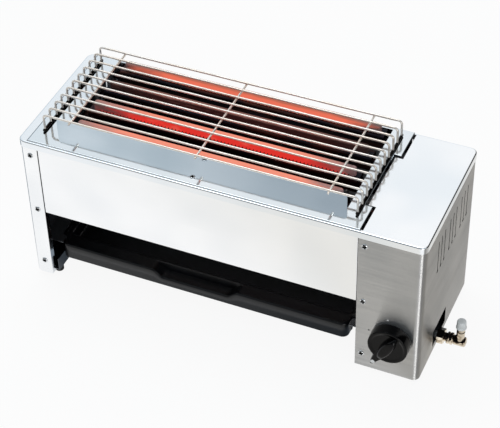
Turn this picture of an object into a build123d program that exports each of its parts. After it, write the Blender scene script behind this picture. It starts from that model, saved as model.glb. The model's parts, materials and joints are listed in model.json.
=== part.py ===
from build123d import *
from math import cos, radians, sin
import os

# Tabletop gas grill with four ceramic-topped burners, a lift-off wire grid, a drip tray that slides
# out of the front and a control box at the right-hand end.
# Millimetres. +X to the right, +Y to the back, +Z up. The origin is on the counter, at the middle of
# the whole object's footprint, gas inlet and knob included.

os.makedirs("parts", exist_ok=True)

# Casing sheets
casing_width = 560.0
casing_depth = 205.0
casing_height = 240.0
foot_height = 8.0
sheet = 1.0
chassis_sheet = 1.2
corner_radius = 10.0
top_flange = 10.0
top_edge_radius = 2.0
post_width = 27.0
seam = 0.6
post_seam = 1.4
panel_return = 8.0
panel_hem = 9.0
tray_opening_height = 114.0
control_width = 87.5
partition_setback = 4.5
partition_flange = 15.5
rail_lip = 20.0
rail_reach = 5.0
lap_gap = 0.2

# Raised drip plate and its burner opening
plate_side_margin = 14.5
plate_control_lap = 1.5
plate_front_margin = 2.5
plate_back_margin = 1.0
plate_rise = 2.0
plate_lap = 20.0
plate_back_strip = 5.5
guard_setback = 31.5
guard_height = 22.0
guard_corner = 5.0
guard_overhang = 8.0
opening_side_margin = 35.5
opening_control_margin = 28.0
notch_depth = 10.0
notch_length = 105.0
notch_from_front = 47.5
slot_width = 3.0
slot_end_margin = 2.0

# Screws
screw_head_radius = 4.3
screw_head_height = 1.5
screw_radius = 1.7
screw_length = 6.0
screw_clearance = 0.2
screw_head_taper = 30.0
screw_slot_length = 4.0
screw_slot_width = 0.9
screw_slot_depth = 0.8
post_screw_inset = 16.5
control_screw_inset = 8.5
screw_end_margin = 22.5
plate_screw_setback = 13.0
plate_screw_head_radius = 3.6

# Side air slits and the opening for the gas pipe
slit_width = 2.2
slit_length = 50.0
slit_hole_radius = 2.4
slit_pitch = 12.5
slit_group_pitch = 45.5
slit_first = 55.5
slit_top_margin = 34.0
pipe_opening_length = 52.0
pipe_opening_height = 27.0
pipe_opening_first = 58.0
pipe_opening_sill = 9.0

# Feet
foot_radius = 6.0
foot_stem_radius = 2.0
foot_stem_clearance = 0.15
foot_head_radius = 4.0
foot_head_height = 2.0
foot_inset_side = 24.0
foot_inset_front = 21.0

# Inner fat shields
shield_gap_back = 2.0
shield_gap_front = 24.0
shield_front_flange = 8.0
shield_drop = 92.0
shield_slope_drop = 34.0
shield_slope_run = 15.0

# Burners and radiant bars
burner_count = 4
burner_width = 20.0
burner_height = 22.0
burner_corner = 4.0
burner_wall = 1.2
burner_rise = 3.0
burner_side_gap = 10.0
burner_end_gap = 6.0
burner_guard_gap = 4.0
burner_back_gap = 1.5
mixer_radius = 7.0
mixer_drop = 4.0
mixer_reach = 11.0
mixer_wall = 1.2
mouth_radius = 9.0
mouth_length = 4.0
port_radius = 0.8
port_pitch = 9.0
port_end_margin = 14.0
port_setout = 5.4
tongue_width = 12.0
tongue_thickness = 3.0
tongue_length = 12.0
radiant_width = 9.0
radiant_height = 12.0
radiant_end_gap = 6.0
radiant_end_radius = 4.0
radiant_top_radius = 2.5
radiant_slot_width = 2.0
radiant_slot_height = 2.5
radiant_slot_pitch = 5.0
bracket_height = 20.0
bracket_flange = 8.0

# Gas train inside the control box
manifold_radius = 6.0
manifold_wall = 1.5
manifold_overhang = 9.0
boss_radius = 4.5
boss_length = 2.0
jet_gap = 2.0
jet_length = 12.0
jet_tip_length = 4.0
jet_tip_radius = 2.0
jet_bore_radius = 0.5
jet_across_flats = 7.0
strap_width = 14.0
strap_thickness = 3.0
bracket_standoff = 14.0
bracket_half_height = 16.0
bracket_side_reach = 20.0
valve_radius = 10.0
valve_length = 40.0
valve_boss_radius = 7.0
valve_boss_length = 12.0
valve_boss_setback = 25.0
pipe_radius = 5.0
pipe_bore_radius = 4.0
pipe_bend = 14.0
inlet_pipe_height = 20.0
inlet_pipe_setback = 72.0
supply_radius = 4.0
supply_bore_radius = 3.0
supply_bend = 12.0
igniter_size = 14.0
igniter_length = 30.0
igniter_offset = 19.0
plunger_radius = 2.5
plunger_reach = 17.0
insulator_radius = 3.0
insulator_half_length = 12.0
electrode_radius = 1.0
electrode_offset = 17.0
electrode_tip_offset = 11.0
electrode_tip_rise = 3.0
lead_radius = 1.5
lead_tail = 12.0
lead_sway = 30.0
lead_slack = 16.0

# Knob, stem and push collar
knob_from_edge = 38.0
knob_height = 67.0
knob_radius = 27.0
knob_gap = 3.5
knob_thickness = 16.5
knob_edge_radius = 2.0
knob_taper = 2.0
grip_taper = 12.0
grip_height = 8.0
grip_half_length = 22.0
grip_half_width = 8.5
pointer_angle = 240.0
pointer_reach = 41.0
pointer_root_width = 17.0
pointer_tip_radius = 4.0
pointer_step = 5.0
dot_radius = 3.0
dot_thickness = 0.4
knob_hole_radius = 8.0
stem_radius = 4.0
stem_in_knob = 12.0
stem_in_valve = 16.0
shoulder_radius = 6.0
collar_radius = 9.0
collar_thickness = 2.0
collar_setback = 5.0
collar_gap = 0.3
running_gap = 0.06
knob_travel = 3.0

# Gas inlet outside the control box
nut_gap = 1.5
nut_length = 9.5
nut_across_flats = 19.0
union_radius = 6.0
elbow_offset = 32.0
coupling_radius = 8.2
elbow_radius = 6.8
elbow_end = 8.0
upright_radius = 5.6
upright_length = 17.2
nipple_radius = 4.7
nipple_length = 10.0
nipple_bore_radius = 3.2
cap_radius = 7.0
cap_length = 13.0
cap_dome = 3.0
cap_clearance = 0.1

# Drip tray and runners
tray_setback = 18.0
tray_back_gap = 9.0
tray_side_gap = 38.0
tray_partition_gap = 23.0
tray_bottom_height = 24.0
tray_depth = 22.0
tray_sheet = 1.2
tray_rim = 9.0
tray_deck = 20.0
tray_corner = 8.0
recess_width = 128.0
recess_slope = 11.0
recess_depth = 10.0
recess_offset = -9.0
runner_gap = 0.3
runner_body_gap = 2.0
runner_leg = 10.0
runner_front = 22.0

# Wire grid
wire_count = 11
wire_radius = 1.5
wire_bend = 5.0
grid_rise = 28.0
grid_front_margin = 25.5
grid_back_margin = 16.0
grid_side_inset = 12.5
grid_control_inset = 13.0
grid_gap = 0.3
bar_radius = 2.0
bar_overhang = 4.0
rod_overhang = 2.5
rod_radius = 1.5
rod_end_inset = 38.0

# Where everything lies
reach_right = elbow_offset + elbow_end
reach_front = knob_gap + knob_thickness + grip_height - sheet
reach_back = screw_head_height - sheet
left = -(casing_width + reach_right) / 2
right = left + casing_width
front = (reach_front - casing_depth - reach_back) / 2
back = front + casing_depth
centre_x = (left + right) / 2
centre_y = (front + back) / 2
base = foot_height
top = casing_height
top_underside = top - sheet
panel_height = top_underside - base
control_left = right - control_width
partition_x = control_left + partition_setback
inner_front = front + 2 * sheet
inner_back = back - 2 * sheet
panel_left = left + post_width + post_seam
panel_right = control_left - seam
panel_bottom = base + tray_opening_height
chassis_inside = left + 2 * sheet + chassis_sheet
chassis_edge = left + post_width - sheet - lap_gap
rail_edge = left + post_width + rail_reach

plate_left = left + plate_side_margin
plate_right = control_left + plate_control_lap
plate_front = front + plate_front_margin
plate_back = back - plate_back_margin
plate_top = top + plate_rise
guard_front = plate_front + guard_setback
guard_back = guard_front + sheet
plate_screw_x = (plate_left + plate_right) / 2
plate_screw_y = plate_front + plate_screw_setback
notch_front = front + notch_from_front
notch_back = notch_front + notch_length
notch_left = plate_right - notch_depth
opening_left = plate_left + opening_side_margin
opening_right = plate_right - opening_control_margin
opening_front = guard_back
opening_back = plate_back - plate_back_strip

burner_left = opening_left + burner_side_gap
burner_right = opening_right - burner_end_gap
burner_top = top + burner_rise
burner_middle = burner_top - burner_height / 2
first_burner_y = opening_front + burner_guard_gap + burner_width / 2
last_burner_y = opening_back - burner_back_gap - burner_width / 2
burner_pitch = (last_burner_y - first_burner_y) / (burner_count - 1)
burner_rows = [first_burner_y + n * burner_pitch for n in range(burner_count)]
burner_names = ["front", "second", "third", "back"]
mixer_z = burner_middle - mixer_drop
mixer_end = partition_x + mixer_reach
jet_end = mixer_end + jet_gap
manifold_x = jet_end + jet_length + boss_length + manifold_radius
radiant_left = burner_left + radiant_end_gap
radiant_right = burner_right - radiant_end_gap

knob_x = right - knob_from_edge
knob_z = base + knob_height
face_y = front + sheet
bracket_y = inner_front + bracket_standoff
valve_front = bracket_y + chassis_sheet
valve_boss_y = valve_front + valve_boss_setback
igniter_x = knob_x - igniter_offset
pipe_z = base + inlet_pipe_height
pipe_y = front + inlet_pipe_setback

tray_left = left + tray_side_gap
tray_right = partition_x - tray_partition_gap
tray_front = front + tray_setback
tray_back = back - tray_back_gap
tray_bottom = base + tray_bottom_height
tray_top = tray_bottom + tray_depth
runner_top = tray_top - tray_sheet - runner_gap

grid_left = plate_left + grid_side_inset
grid_right = plate_right - grid_control_inset
wire_first_y = plate_front + grid_front_margin
wire_last_y = plate_back - grid_back_margin
wire_pitch = (wire_last_y - wire_first_y) / (wire_count - 1)
wire_rows = [wire_first_y + n * wire_pitch for n in range(wire_count)]
wire_z = top + grid_rise
bar_z = plate_top + grid_gap + bar_radius
bar_length = wire_last_y - wire_first_y + 2 * bar_overhang

screw_heights = [base + screw_end_margin, (base + top) / 2, top - screw_end_margin]
post_screw_x = left + post_screw_inset
control_screw_x = control_left + control_screw_inset
screw_places = [(x, z) for x in (post_screw_x, control_screw_x) for z in screw_heights]
screw_hole_radius = screw_radius + screw_clearance
foot_places = {
    "front_left": (left + 2 * sheet + foot_inset_side, front + foot_inset_front),
    "back_left": (left + 2 * sheet + foot_inset_side, back - foot_inset_front),
    "front_right": (right - 2 * sheet - foot_inset_side, front + foot_inset_front),
    "back_right": (right - 2 * sheet - foot_inset_side, back - foot_inset_front),
}
foot_hole_radius = foot_stem_radius + foot_stem_clearance

corner = (Align.MIN, Align.MIN, Align.MIN)
flat_middle = (Align.CENTER, Align.CENTER, Align.MIN)
along_x = (0, 90, 0)


def casing_outline(inset, mode=Mode.ADD):
    """Plan of the casing, drawn in by the inset, for use inside a sketch."""
    with Locations((centre_x, centre_y)):
        RectangleRounded(
            casing_width - 2 * inset, casing_depth - 2 * inset, corner_radius - inset, mode=mode
        )


def plan_rectangle(x0, x1, y0, y1, mode=Mode.ADD):
    """Rectangle between two corners of the plan, for use inside a sketch."""
    with Locations(((x0 + x1) / 2, (y0 + y1) / 2)):
        Rectangle(x1 - x0, y1 - y0, mode=mode)


def block(x0, x1, y0, y1, z0, z1, mode=Mode.ADD):
    """Straight block between two corners, for use inside a part."""
    with Locations((x0, y0, z0)):
        Box(x1 - x0, y1 - y0, z1 - z0, align=corner, mode=mode)


# Top sheet: a shallow lid with a turned-down flange, open under the drip plate, with a cooling slot
# that follows the plate's right-hand outline
with BuildPart() as top_frame:
    with BuildSketch(Plane.XY.offset(top - top_flange)):
        casing_outline(0)
    extrude(amount=top_flange)
    fillet(top_frame.edges().group_by(Axis.Z)[-1], top_edge_radius)
    with BuildSketch(Plane.XY.offset(top - top_flange)):
        casing_outline(sheet)
    extrude(amount=top_flange - sheet, mode=Mode.SUBTRACT)
    with BuildSketch(Plane.XY.offset(top)):
        plan_rectangle(
            plate_left + plate_lap, plate_right - plate_lap, plate_front + plate_lap, opening_back
        )
    extrude(amount=-2 * sheet, mode=Mode.SUBTRACT)
    with BuildSketch(Plane.XY.offset(top)):
        for y0, y1 in (
            (plate_front + slot_end_margin, notch_front + slot_width),
            (notch_back - slot_width, plate_back - slot_end_margin),
        ):
            plan_rectangle(plate_right, plate_right + slot_width, y0, y1)
        for y0 in (notch_front, notch_back - slot_width):
            plan_rectangle(notch_left, plate_right, y0, y0 + slot_width)
        plan_rectangle(notch_left, notch_left + slot_width, notch_front, notch_back)
    extrude(amount=-2 * sheet, mode=Mode.SUBTRACT)
    with Locations((plate_screw_x, plate_screw_y, top)):
        Cylinder(screw_hole_radius, 4 * sheet, mode=Mode.SUBTRACT)
top_frame.part.label = "top_frame"
export_step(top_frame.part, "parts/top_frame.step")

# Drip plate: stands on its hemmed edge, with the burner opening and the guard wall folded up from it
with BuildPart() as drip_plate:
    with BuildSketch(Plane.XY.offset(top)):
        plan_rectangle(plate_left, plate_right, plate_front, plate_back)
        plan_rectangle(notch_left, plate_right, notch_front, notch_back, Mode.SUBTRACT)
    extrude(amount=plate_rise)
    fillet(drip_plate.edges().group_by(Axis.Z)[-1], sheet)
    with BuildSketch(Plane.XY.offset(top)):
        plan_rectangle(
            plate_left + sheet, notch_left - sheet, plate_front + sheet, plate_back - sheet
        )
    extrude(amount=plate_rise - sheet, mode=Mode.SUBTRACT)
    with BuildSketch(Plane.XY.offset(top)):
        plan_rectangle(opening_left, opening_right, opening_front, opening_back)
    extrude(amount=plate_rise, mode=Mode.SUBTRACT)
    with BuildSketch(Plane.XZ.offset(-guard_back)):
        with Locations(((opening_left - guard_overhang + opening_right - sheet) / 2, plate_top)):
            Rectangle(
                opening_right - opening_left + guard_overhang - sheet,
                top + guard_height - plate_top,
                align=(Align.CENTER, Align.MIN),
            )
    extrude(amount=sheet)
    fillet(drip_plate.edges().filter_by(Axis.Y).group_by(Axis.Z)[-1], guard_corner)
    block(
        opening_left - guard_overhang,
        opening_right - sheet,
        guard_front,
        guard_back,
        plate_top - sheet,
        plate_top,
    )
    with Locations((plate_screw_x, plate_screw_y, plate_top)):
        Cylinder(screw_hole_radius, 4 * sheet, mode=Mode.SUBTRACT)
drip_plate.part.label = "drip_plate"
export_step(drip_plate.part, "parts/drip_plate.step")

# Screw that holds the drip plate to the top sheet
with BuildPart() as plate_screw:
    with BuildSketch(Plane.XY.offset(plate_top)):
        with Locations((plate_screw_x, plate_screw_y)):
            Circle(plate_screw_head_radius)
    extrude(amount=screw_head_height, taper=screw_head_taper)
    with BuildSketch(Plane.XY.offset(plate_top)):
        with Locations((plate_screw_x, plate_screw_y)):
            Circle(screw_radius)
    extrude(amount=-screw_length)
    with Locations((plate_screw_x, plate_screw_y, plate_top + screw_head_height)):
        Box(screw_slot_length, screw_slot_width, 2 * screw_slot_depth, mode=Mode.SUBTRACT)
        Box(screw_slot_width, screw_slot_length, 2 * screw_slot_depth, mode=Mode.SUBTRACT)
plate_screw.part.label = "plate_screw"
export_step(plate_screw.part, "parts/plate_screw.step")

# Left end: one sheet bent round into a front post, the end wall and a back post
with BuildPart() as left_end_cover:
    with BuildSketch(Plane.XY.offset(base)):
        casing_outline(sheet)
        casing_outline(2 * sheet, Mode.SUBTRACT)
    extrude(amount=panel_height)
    block(left, left + post_width, front, back, base, top, Mode.INTERSECT)
    for y0 in (inner_front, inner_back - panel_return):
        block(
            left + post_width - sheet,
            left + post_width,
            y0,
            y0 + panel_return,
            base,
            top_underside,
        )
    post_edges = left_end_cover.edges().filter_by(Axis.Z).group_by(Axis.X)[-1]
    fillet([post_edges.sort_by(Axis.Y)[0], post_edges.sort_by(Axis.Y)[-1]], sheet - lap_gap)
    with BuildSketch(Plane.XZ.offset(-front)):
        with Locations(*[(post_screw_x, z) for z in screw_heights]):
            Circle(screw_hole_radius)
    extrude(amount=-casing_depth, mode=Mode.SUBTRACT)
left_end_cover.part.label = "left_end_cover"
export_step(left_end_cover.part, "parts/left_end_cover.step")

# Left chassis: inner frame behind the posts with the bottom rail that carries the feet
with BuildPart() as left_chassis:
    with BuildSketch(Plane.XY.offset(base)):
        casing_outline(2 * sheet)
        casing_outline(2 * sheet + chassis_sheet, Mode.SUBTRACT)
        plan_rectangle(left, chassis_edge, front, back, Mode.INTERSECT)
    extrude(amount=panel_height - lap_gap)
    with BuildSketch(Plane.XY.offset(base)):
        casing_outline(2 * sheet)
        plan_rectangle(left, chassis_edge, front, back, Mode.INTERSECT)
    extrude(amount=chassis_sheet)
    for rail_start, rail_height in (
        (chassis_inside, chassis_sheet),
        (rail_edge - chassis_sheet, rail_lip),
    ):
        block(
            rail_start,
            rail_edge,
            inner_front + panel_hem + lap_gap,
            inner_back - panel_hem - lap_gap,
            base,
            base + rail_height,
        )
    with BuildSketch(Plane.XZ.offset(-front)):
        with Locations(*[(post_screw_x, z) for z in screw_heights]):
            Circle(screw_hole_radius)
    extrude(amount=-casing_depth, mode=Mode.SUBTRACT)
    with BuildSketch(Plane.XY.offset(base)):
        with Locations(foot_places["front_left"], foot_places["back_left"]):
            Circle(foot_hole_radius)
    extrude(amount=chassis_sheet, mode=Mode.SUBTRACT)
left_chassis.part.label = "left_chassis"
export_step(left_chassis.part, "parts/left_chassis.step")

# Front panel above the tray opening, with returns at both ends and a hem below
with BuildPart() as front_panel:
    block(panel_left, panel_right, face_y, inner_front, panel_bottom, top_underside)
    for x0 in (panel_left, panel_right - sheet):
        block(x0, x0 + sheet, inner_front, inner_front + panel_return, panel_bottom, top_underside)
    block(
        panel_left,
        panel_right,
        inner_front,
        inner_front + panel_hem,
        panel_bottom,
        panel_bottom + sheet,
    )
    panel_face = front_panel.faces().sort_by(Axis.Y)[0]
    side_edges = panel_face.edges().filter_by(Axis.Z)
    bottom_edge = panel_face.edges().filter_by(Axis.X).sort_by(Axis.Z)[0]
    fillet([*side_edges, bottom_edge], sheet - lap_gap)
front_panel.part.label = "front_panel"
export_step(front_panel.part, "parts/front_panel.step")

# Back panel, full height, with returns at both ends and a hem below
with BuildPart() as back_panel:
    block(panel_left, panel_right, inner_back, back - sheet, base, top_underside)
    for x0 in (panel_left, panel_right - sheet):
        block(x0, x0 + sheet, inner_back - panel_return, inner_back, base, top_underside)
    block(panel_left, panel_right, inner_back - panel_hem, inner_back, base, base + sheet)
back_panel.part.label = "back_panel"
export_step(back_panel.part, "parts/back_panel.step")

# Control housing: one sheet bent into the control panel, the right side and a back return
with BuildPart() as control_housing:
    with BuildSketch(Plane.XY.offset(base)):
        casing_outline(sheet)
        casing_outline(2 * sheet, Mode.SUBTRACT)
        plan_rectangle(control_left, right, front, back, Mode.INTERSECT)
    extrude(amount=panel_height)
    with BuildSketch(Plane.XZ.offset(-front)):
        with Locations(*[(control_screw_x, z) for z in screw_heights]):
            Circle(screw_hole_radius)
    extrude(amount=-casing_depth, mode=Mode.SUBTRACT)
    with BuildSketch(Plane.XZ.offset(-front)):
        with Locations((knob_x, knob_z)):
            Circle(knob_hole_radius)
    extrude(amount=-3 * sheet, mode=Mode.SUBTRACT)
    with BuildSketch(Plane.YZ.offset(right)):
        for group in range(3):
            for slit in range(3):
                slit_y = front + slit_first + group * slit_group_pitch + slit * slit_pitch
                with Locations((slit_y, top - slit_top_margin)):
                    Rectangle(slit_width, slit_length, align=(Align.CENTER, Align.MAX))
                with Locations((slit_y, top - slit_top_margin - slit_length)):
                    Circle(slit_hole_radius)
        with Locations((front + pipe_opening_first, base + pipe_opening_sill)):
            Rectangle(pipe_opening_length, pipe_opening_height, align=(Align.MIN, Align.MIN))
    extrude(amount=-3 * sheet, mode=Mode.SUBTRACT)
control_housing.part.label = "control_housing"
export_step(control_housing.part, "parts/control_housing.step")

# Partition between the burner chamber and the control box, flanged at the front and the back
with BuildPart() as control_partition:
    block(
        partition_x,
        partition_x + chassis_sheet,
        inner_front,
        inner_back,
        base,
        top_underside - lap_gap,
    )
    for y0 in (inner_front, inner_back - chassis_sheet):
        block(
            partition_x,
            partition_x + partition_flange,
            y0,
            y0 + chassis_sheet,
            base,
            top_underside - lap_gap,
        )
    with BuildSketch(Plane.XZ.offset(-front)):
        with Locations(*[(control_screw_x, z) for z in screw_heights]):
            Circle(screw_hole_radius)
    extrude(amount=-casing_depth, mode=Mode.SUBTRACT)
    with BuildSketch(Plane.YZ.offset(partition_x)):
        with Locations(*[(y, mixer_z) for y in burner_rows]):
            Circle(mixer_radius + lap_gap)
        with Locations((first_burner_y + electrode_offset, mixer_z)):
            Circle(insulator_radius + lap_gap)
    extrude(amount=2 * chassis_sheet, mode=Mode.SUBTRACT)
control_partition.part.label = "control_partition"
export_step(control_partition.part, "parts/control_partition.step")

# Floor of the control box
with BuildPart() as control_floor:
    with BuildSketch(Plane.XY.offset(base)):
        casing_outline(2 * sheet + lap_gap)
        plan_rectangle(
            partition_x + chassis_sheet + lap_gap,
            right,
            inner_front + chassis_sheet + lap_gap,
            inner_back - chassis_sheet - lap_gap,
            Mode.INTERSECT,
        )
        with Locations(foot_places["front_right"], foot_places["back_right"]):
            Circle(foot_hole_radius, mode=Mode.SUBTRACT)
    extrude(amount=chassis_sheet)
control_floor.part.label = "control_floor"
export_step(control_floor.part, "parts/control_floor.step")

# Rubber feet, each pulled through a hole in the sheet above it
for name, (x, y) in foot_places.items():
    with BuildPart() as foot:
        with BuildSketch(Plane.XY):
            with Locations((x, y)):
                Circle(foot_radius)
        extrude(amount=base)
        with Locations((x, y, base)):
            Cylinder(foot_stem_radius, chassis_sheet, align=flat_middle)
        with Locations((x, y, base + chassis_sheet)):
            Cylinder(foot_head_radius, foot_head_height, align=flat_middle)
        fillet(foot.edges().group_by(Axis.Z)[0], foot_radius / 6)
    foot.part.label = f"foot_{name}"
    export_step(foot.part, f"parts/foot_{name}.step")

# Inner fat shields, hung under the top sheet, that lead dripping fat into the tray
shield_front_y = inner_front + shield_gap_front
shield_back_y = inner_back - shield_gap_back
shield_left = panel_left + sheet + lap_gap
shield_right = panel_right - sheet - lap_gap
shield_top = top_underside
shield_bend = shield_top - shield_drop
shield_bottom = shield_bend - shield_slope_drop
for name, wall_y, inward, flange_run in (
    ("front", shield_front_y, 1, shield_front_flange),
    ("back", shield_back_y, -1, shield_gap_back),
):
    with BuildPart() as shield:
        with BuildSketch(Plane.YZ.offset(shield_left)):
            with BuildLine():
                Polyline(
                    (wall_y - inward * flange_run, shield_top),
                    (wall_y + inward * sheet, shield_top),
                    (wall_y + inward * sheet, shield_bend),
                    (wall_y + inward * (sheet + shield_slope_run), shield_bottom),
                    (wall_y + inward * shield_slope_run, shield_bottom),
                    (wall_y, shield_bend),
                    (wall_y, shield_top - sheet),
                    (wall_y - inward * flange_run, shield_top - sheet),
                    close=True,
                )
            make_face()
        extrude(amount=shield_right - shield_left)
    shield.part.label = f"fat_shield_{name}"
    export_step(shield.part, f"parts/fat_shield_{name}.step")

# Burners: hollow bars with two rows of ports and a mixer tube that runs into the control box
port_count = int((burner_right - burner_left - 2 * port_end_margin) // port_pitch) + 1
port_middle_x = (burner_left + burner_right) / 2
for name, y in zip(burner_names, burner_rows):
    with BuildPart() as burner:
        with BuildSketch(Plane.YZ.offset(burner_left)):
            with Locations((y, burner_middle)):
                RectangleRounded(burner_width, burner_height, burner_corner)
        extrude(amount=burner_right - burner_left)
        with BuildSketch(Plane.YZ.offset(burner_right)):
            with Locations((y, mixer_z)):
                Circle(mixer_radius)
        extrude(amount=mixer_end - burner_right)
        with BuildSketch(Plane.YZ.offset(mixer_end)):
            with Locations((y, mixer_z)):
                Circle(mouth_radius)
        extrude(amount=-mouth_length)
        with BuildSketch(Plane.YZ.offset(burner_left + burner_wall)):
            with Locations((y, burner_middle)):
                RectangleRounded(
                    burner_width - 2 * burner_wall,
                    burner_height - 2 * burner_wall,
                    burner_corner - burner_wall,
                )
        extrude(amount=burner_right - burner_left - 2 * burner_wall, mode=Mode.SUBTRACT)
        with BuildSketch(Plane.YZ.offset(mixer_end)):
            with Locations((y, mixer_z)):
                Circle(mixer_radius - mixer_wall)
        extrude(amount=burner_right - 2 * burner_wall - mixer_end, mode=Mode.SUBTRACT)
        block(
            burner_left - tongue_length,
            burner_left,
            y - tongue_width / 2,
            y + tongue_width / 2,
            mixer_z - tongue_thickness / 2,
            mixer_z + tongue_thickness / 2,
        )
        with Locations((port_middle_x, y, burner_top - burner_wall)):
            with GridLocations(port_pitch, 2 * port_setout, port_count, 2):
                Cylinder(port_radius, 4 * burner_wall, mode=Mode.SUBTRACT)
    burner.part.label = f"burner_{name}"
    export_step(burner.part, f"parts/burner_{name}.step")

# Ceramic radiant bars, standing on the burners between the port rows on a castellated lower edge
slot_count = int((radiant_right - radiant_left - 4 * radiant_end_radius) // radiant_slot_pitch) + 1
for name, y in zip(burner_names, burner_rows):
    with BuildPart() as radiant:
        with BuildSketch(Plane.XY.offset(burner_top)):
            with Locations(((radiant_left + radiant_right) / 2, y)):
                RectangleRounded(radiant_right - radiant_left, radiant_width, radiant_end_radius)
        extrude(amount=radiant_height)
        fillet(radiant.edges().group_by(Axis.Z)[-1], radiant_top_radius)
        with Locations(((radiant_left + radiant_right) / 2, y, burner_top)):
            with GridLocations(radiant_slot_pitch, radiant_width, slot_count, 1):
                Box(
                    radiant_slot_width,
                    2 * radiant_width,
                    radiant_slot_height,
                    align=flat_middle,
                    mode=Mode.SUBTRACT,
                )
    radiant.part.label = f"radiant_{name}"
    export_step(radiant.part, f"parts/radiant_{name}.step")

# Bracket across the left end of the chamber, on which the burners' tongues rest
bracket_top = mixer_z - tongue_thickness / 2
bracket_x = burner_left - tongue_length / 2
with BuildPart() as burner_bracket:
    block(
        bracket_x,
        bracket_x + chassis_sheet,
        shield_front_y + sheet,
        shield_back_y - sheet,
        bracket_top - bracket_height,
        bracket_top,
    )
    block(
        bracket_x - bracket_flange,
        bracket_x,
        shield_front_y + sheet,
        shield_back_y - sheet,
        bracket_top - bracket_height,
        bracket_top - bracket_height + chassis_sheet,
    )
burner_bracket.part.label = "burner_bracket"
export_step(burner_bracket.part, "parts/burner_bracket.step")

# Manifold with a boss for each jet, closed at both ends
manifold_front = first_burner_y - manifold_overhang
manifold_back = last_burner_y + manifold_overhang
with BuildPart() as gas_manifold:
    with BuildSketch(Plane.XZ.offset(-manifold_front)):
        with Locations((manifold_x, mixer_z)):
            Circle(manifold_radius)
    extrude(amount=manifold_front - manifold_back)
    with BuildSketch(Plane.YZ.offset(manifold_x)):
        with Locations(*[(y, mixer_z) for y in burner_rows]):
            Circle(boss_radius)
    extrude(amount=-manifold_radius - boss_length)
    with BuildSketch(Plane.XZ.offset(-manifold_front - manifold_wall)):
        with Locations((manifold_x, mixer_z)):
            Circle(manifold_radius - manifold_wall)
    extrude(amount=manifold_front - manifold_back + 2 * manifold_wall, mode=Mode.SUBTRACT)
    with BuildSketch(Plane.YZ.offset(manifold_x)):
        with Locations(*[(y, mixer_z) for y in burner_rows]):
            Circle(jet_tip_radius)
    extrude(amount=-manifold_radius - boss_length, mode=Mode.SUBTRACT)
gas_manifold.part.label = "gas_manifold"
export_step(gas_manifold.part, "parts/gas_manifold.step")

# Four brass jets, one for each mixer mouth
with BuildPart() as gas_jets:
    with BuildSketch(Plane.YZ.offset(jet_end + jet_tip_length)):
        with Locations(*[(y, mixer_z) for y in burner_rows]):
            RegularPolygon(jet_across_flats / 2, 6, major_radius=False)
    extrude(amount=jet_length - jet_tip_length)
    with BuildSketch(Plane.YZ.offset(jet_end)):
        with Locations(*[(y, mixer_z) for y in burner_rows]):
            Circle(jet_tip_radius)
    extrude(amount=jet_tip_length)
    with BuildSketch(Plane.YZ.offset(jet_end)):
        with Locations(*[(y, mixer_z) for y in burner_rows]):
            Circle(jet_bore_radius)
    extrude(amount=jet_length, mode=Mode.SUBTRACT)
gas_jets.part.label = "gas_jets"
export_step(gas_jets.part, "parts/gas_jets.step")

# Straps that carry the manifold from the partition
strap_rows = [(burner_rows[1] + burner_rows[2]) / 2, (burner_rows[2] + burner_rows[3]) / 2]
with BuildPart() as manifold_straps:
    for y in strap_rows:
        block(
            partition_x + chassis_sheet,
            manifold_x,
            y - strap_width / 2,
            y + strap_width / 2,
            mixer_z - strap_thickness / 2,
            mixer_z + strap_thickness / 2,
        )
        block(
            partition_x + chassis_sheet,
            partition_x + 2 * chassis_sheet,
            y - strap_width / 2,
            y + strap_width / 2,
            mixer_z - strap_width / 2,
            mixer_z + strap_width / 2,
        )
    with BuildSketch(Plane.XZ.offset(-manifold_front)):
        with Locations((manifold_x, mixer_z)):
            Circle(manifold_radius)
    extrude(amount=manifold_front - manifold_back, mode=Mode.SUBTRACT)
manifold_straps.part.label = "manifold_straps"
export_step(manifold_straps.part, "parts/manifold_straps.step")

# Stand-off bracket on the back of the control panel, for the valve and the igniter
bracket_left = igniter_x - igniter_size / 2 - 2 * chassis_sheet
bracket_right = knob_x + bracket_side_reach
with BuildPart() as valve_bracket:
    block(
        bracket_left,
        bracket_right,
        bracket_y,
        valve_front,
        knob_z - bracket_half_height,
        knob_z + bracket_half_height,
    )
    for x0 in (bracket_left, bracket_right - chassis_sheet):
        block(
            x0,
            x0 + chassis_sheet,
            inner_front,
            bracket_y,
            knob_z - bracket_half_height,
            knob_z + bracket_half_height,
        )
    with BuildSketch(Plane.XZ.offset(-bracket_y)):
        with Locations((knob_x, knob_z)):
            Circle(knob_hole_radius)
        with Locations((igniter_x, knob_z)):
            Circle(plunger_radius + lap_gap)
    extrude(amount=-2 * chassis_sheet, mode=Mode.SUBTRACT)
valve_bracket.part.label = "valve_bracket"
export_step(valve_bracket.part, "parts/valve_bracket.step")

# Gas valve: brass barrel on the bracket, inlet boss below and outlet boss above
with BuildPart() as gas_valve:
    with BuildSketch(Plane.XZ.offset(-valve_front)):
        with Locations((knob_x, knob_z)):
            Circle(valve_radius)
    extrude(amount=-valve_length)
    with Locations((knob_x, valve_boss_y, knob_z)):
        Cylinder(valve_boss_radius, 2 * (valve_radius + valve_boss_length))
    with BuildSketch(Plane.XZ.offset(-valve_front)):
        with Locations((knob_x, knob_z)):
            Circle(stem_radius + running_gap)
    extrude(amount=-(stem_in_valve + 2 * knob_travel), mode=Mode.SUBTRACT)
gas_valve.part.label = "gas_valve"
export_step(gas_valve.part, "parts/gas_valve.step")

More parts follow.
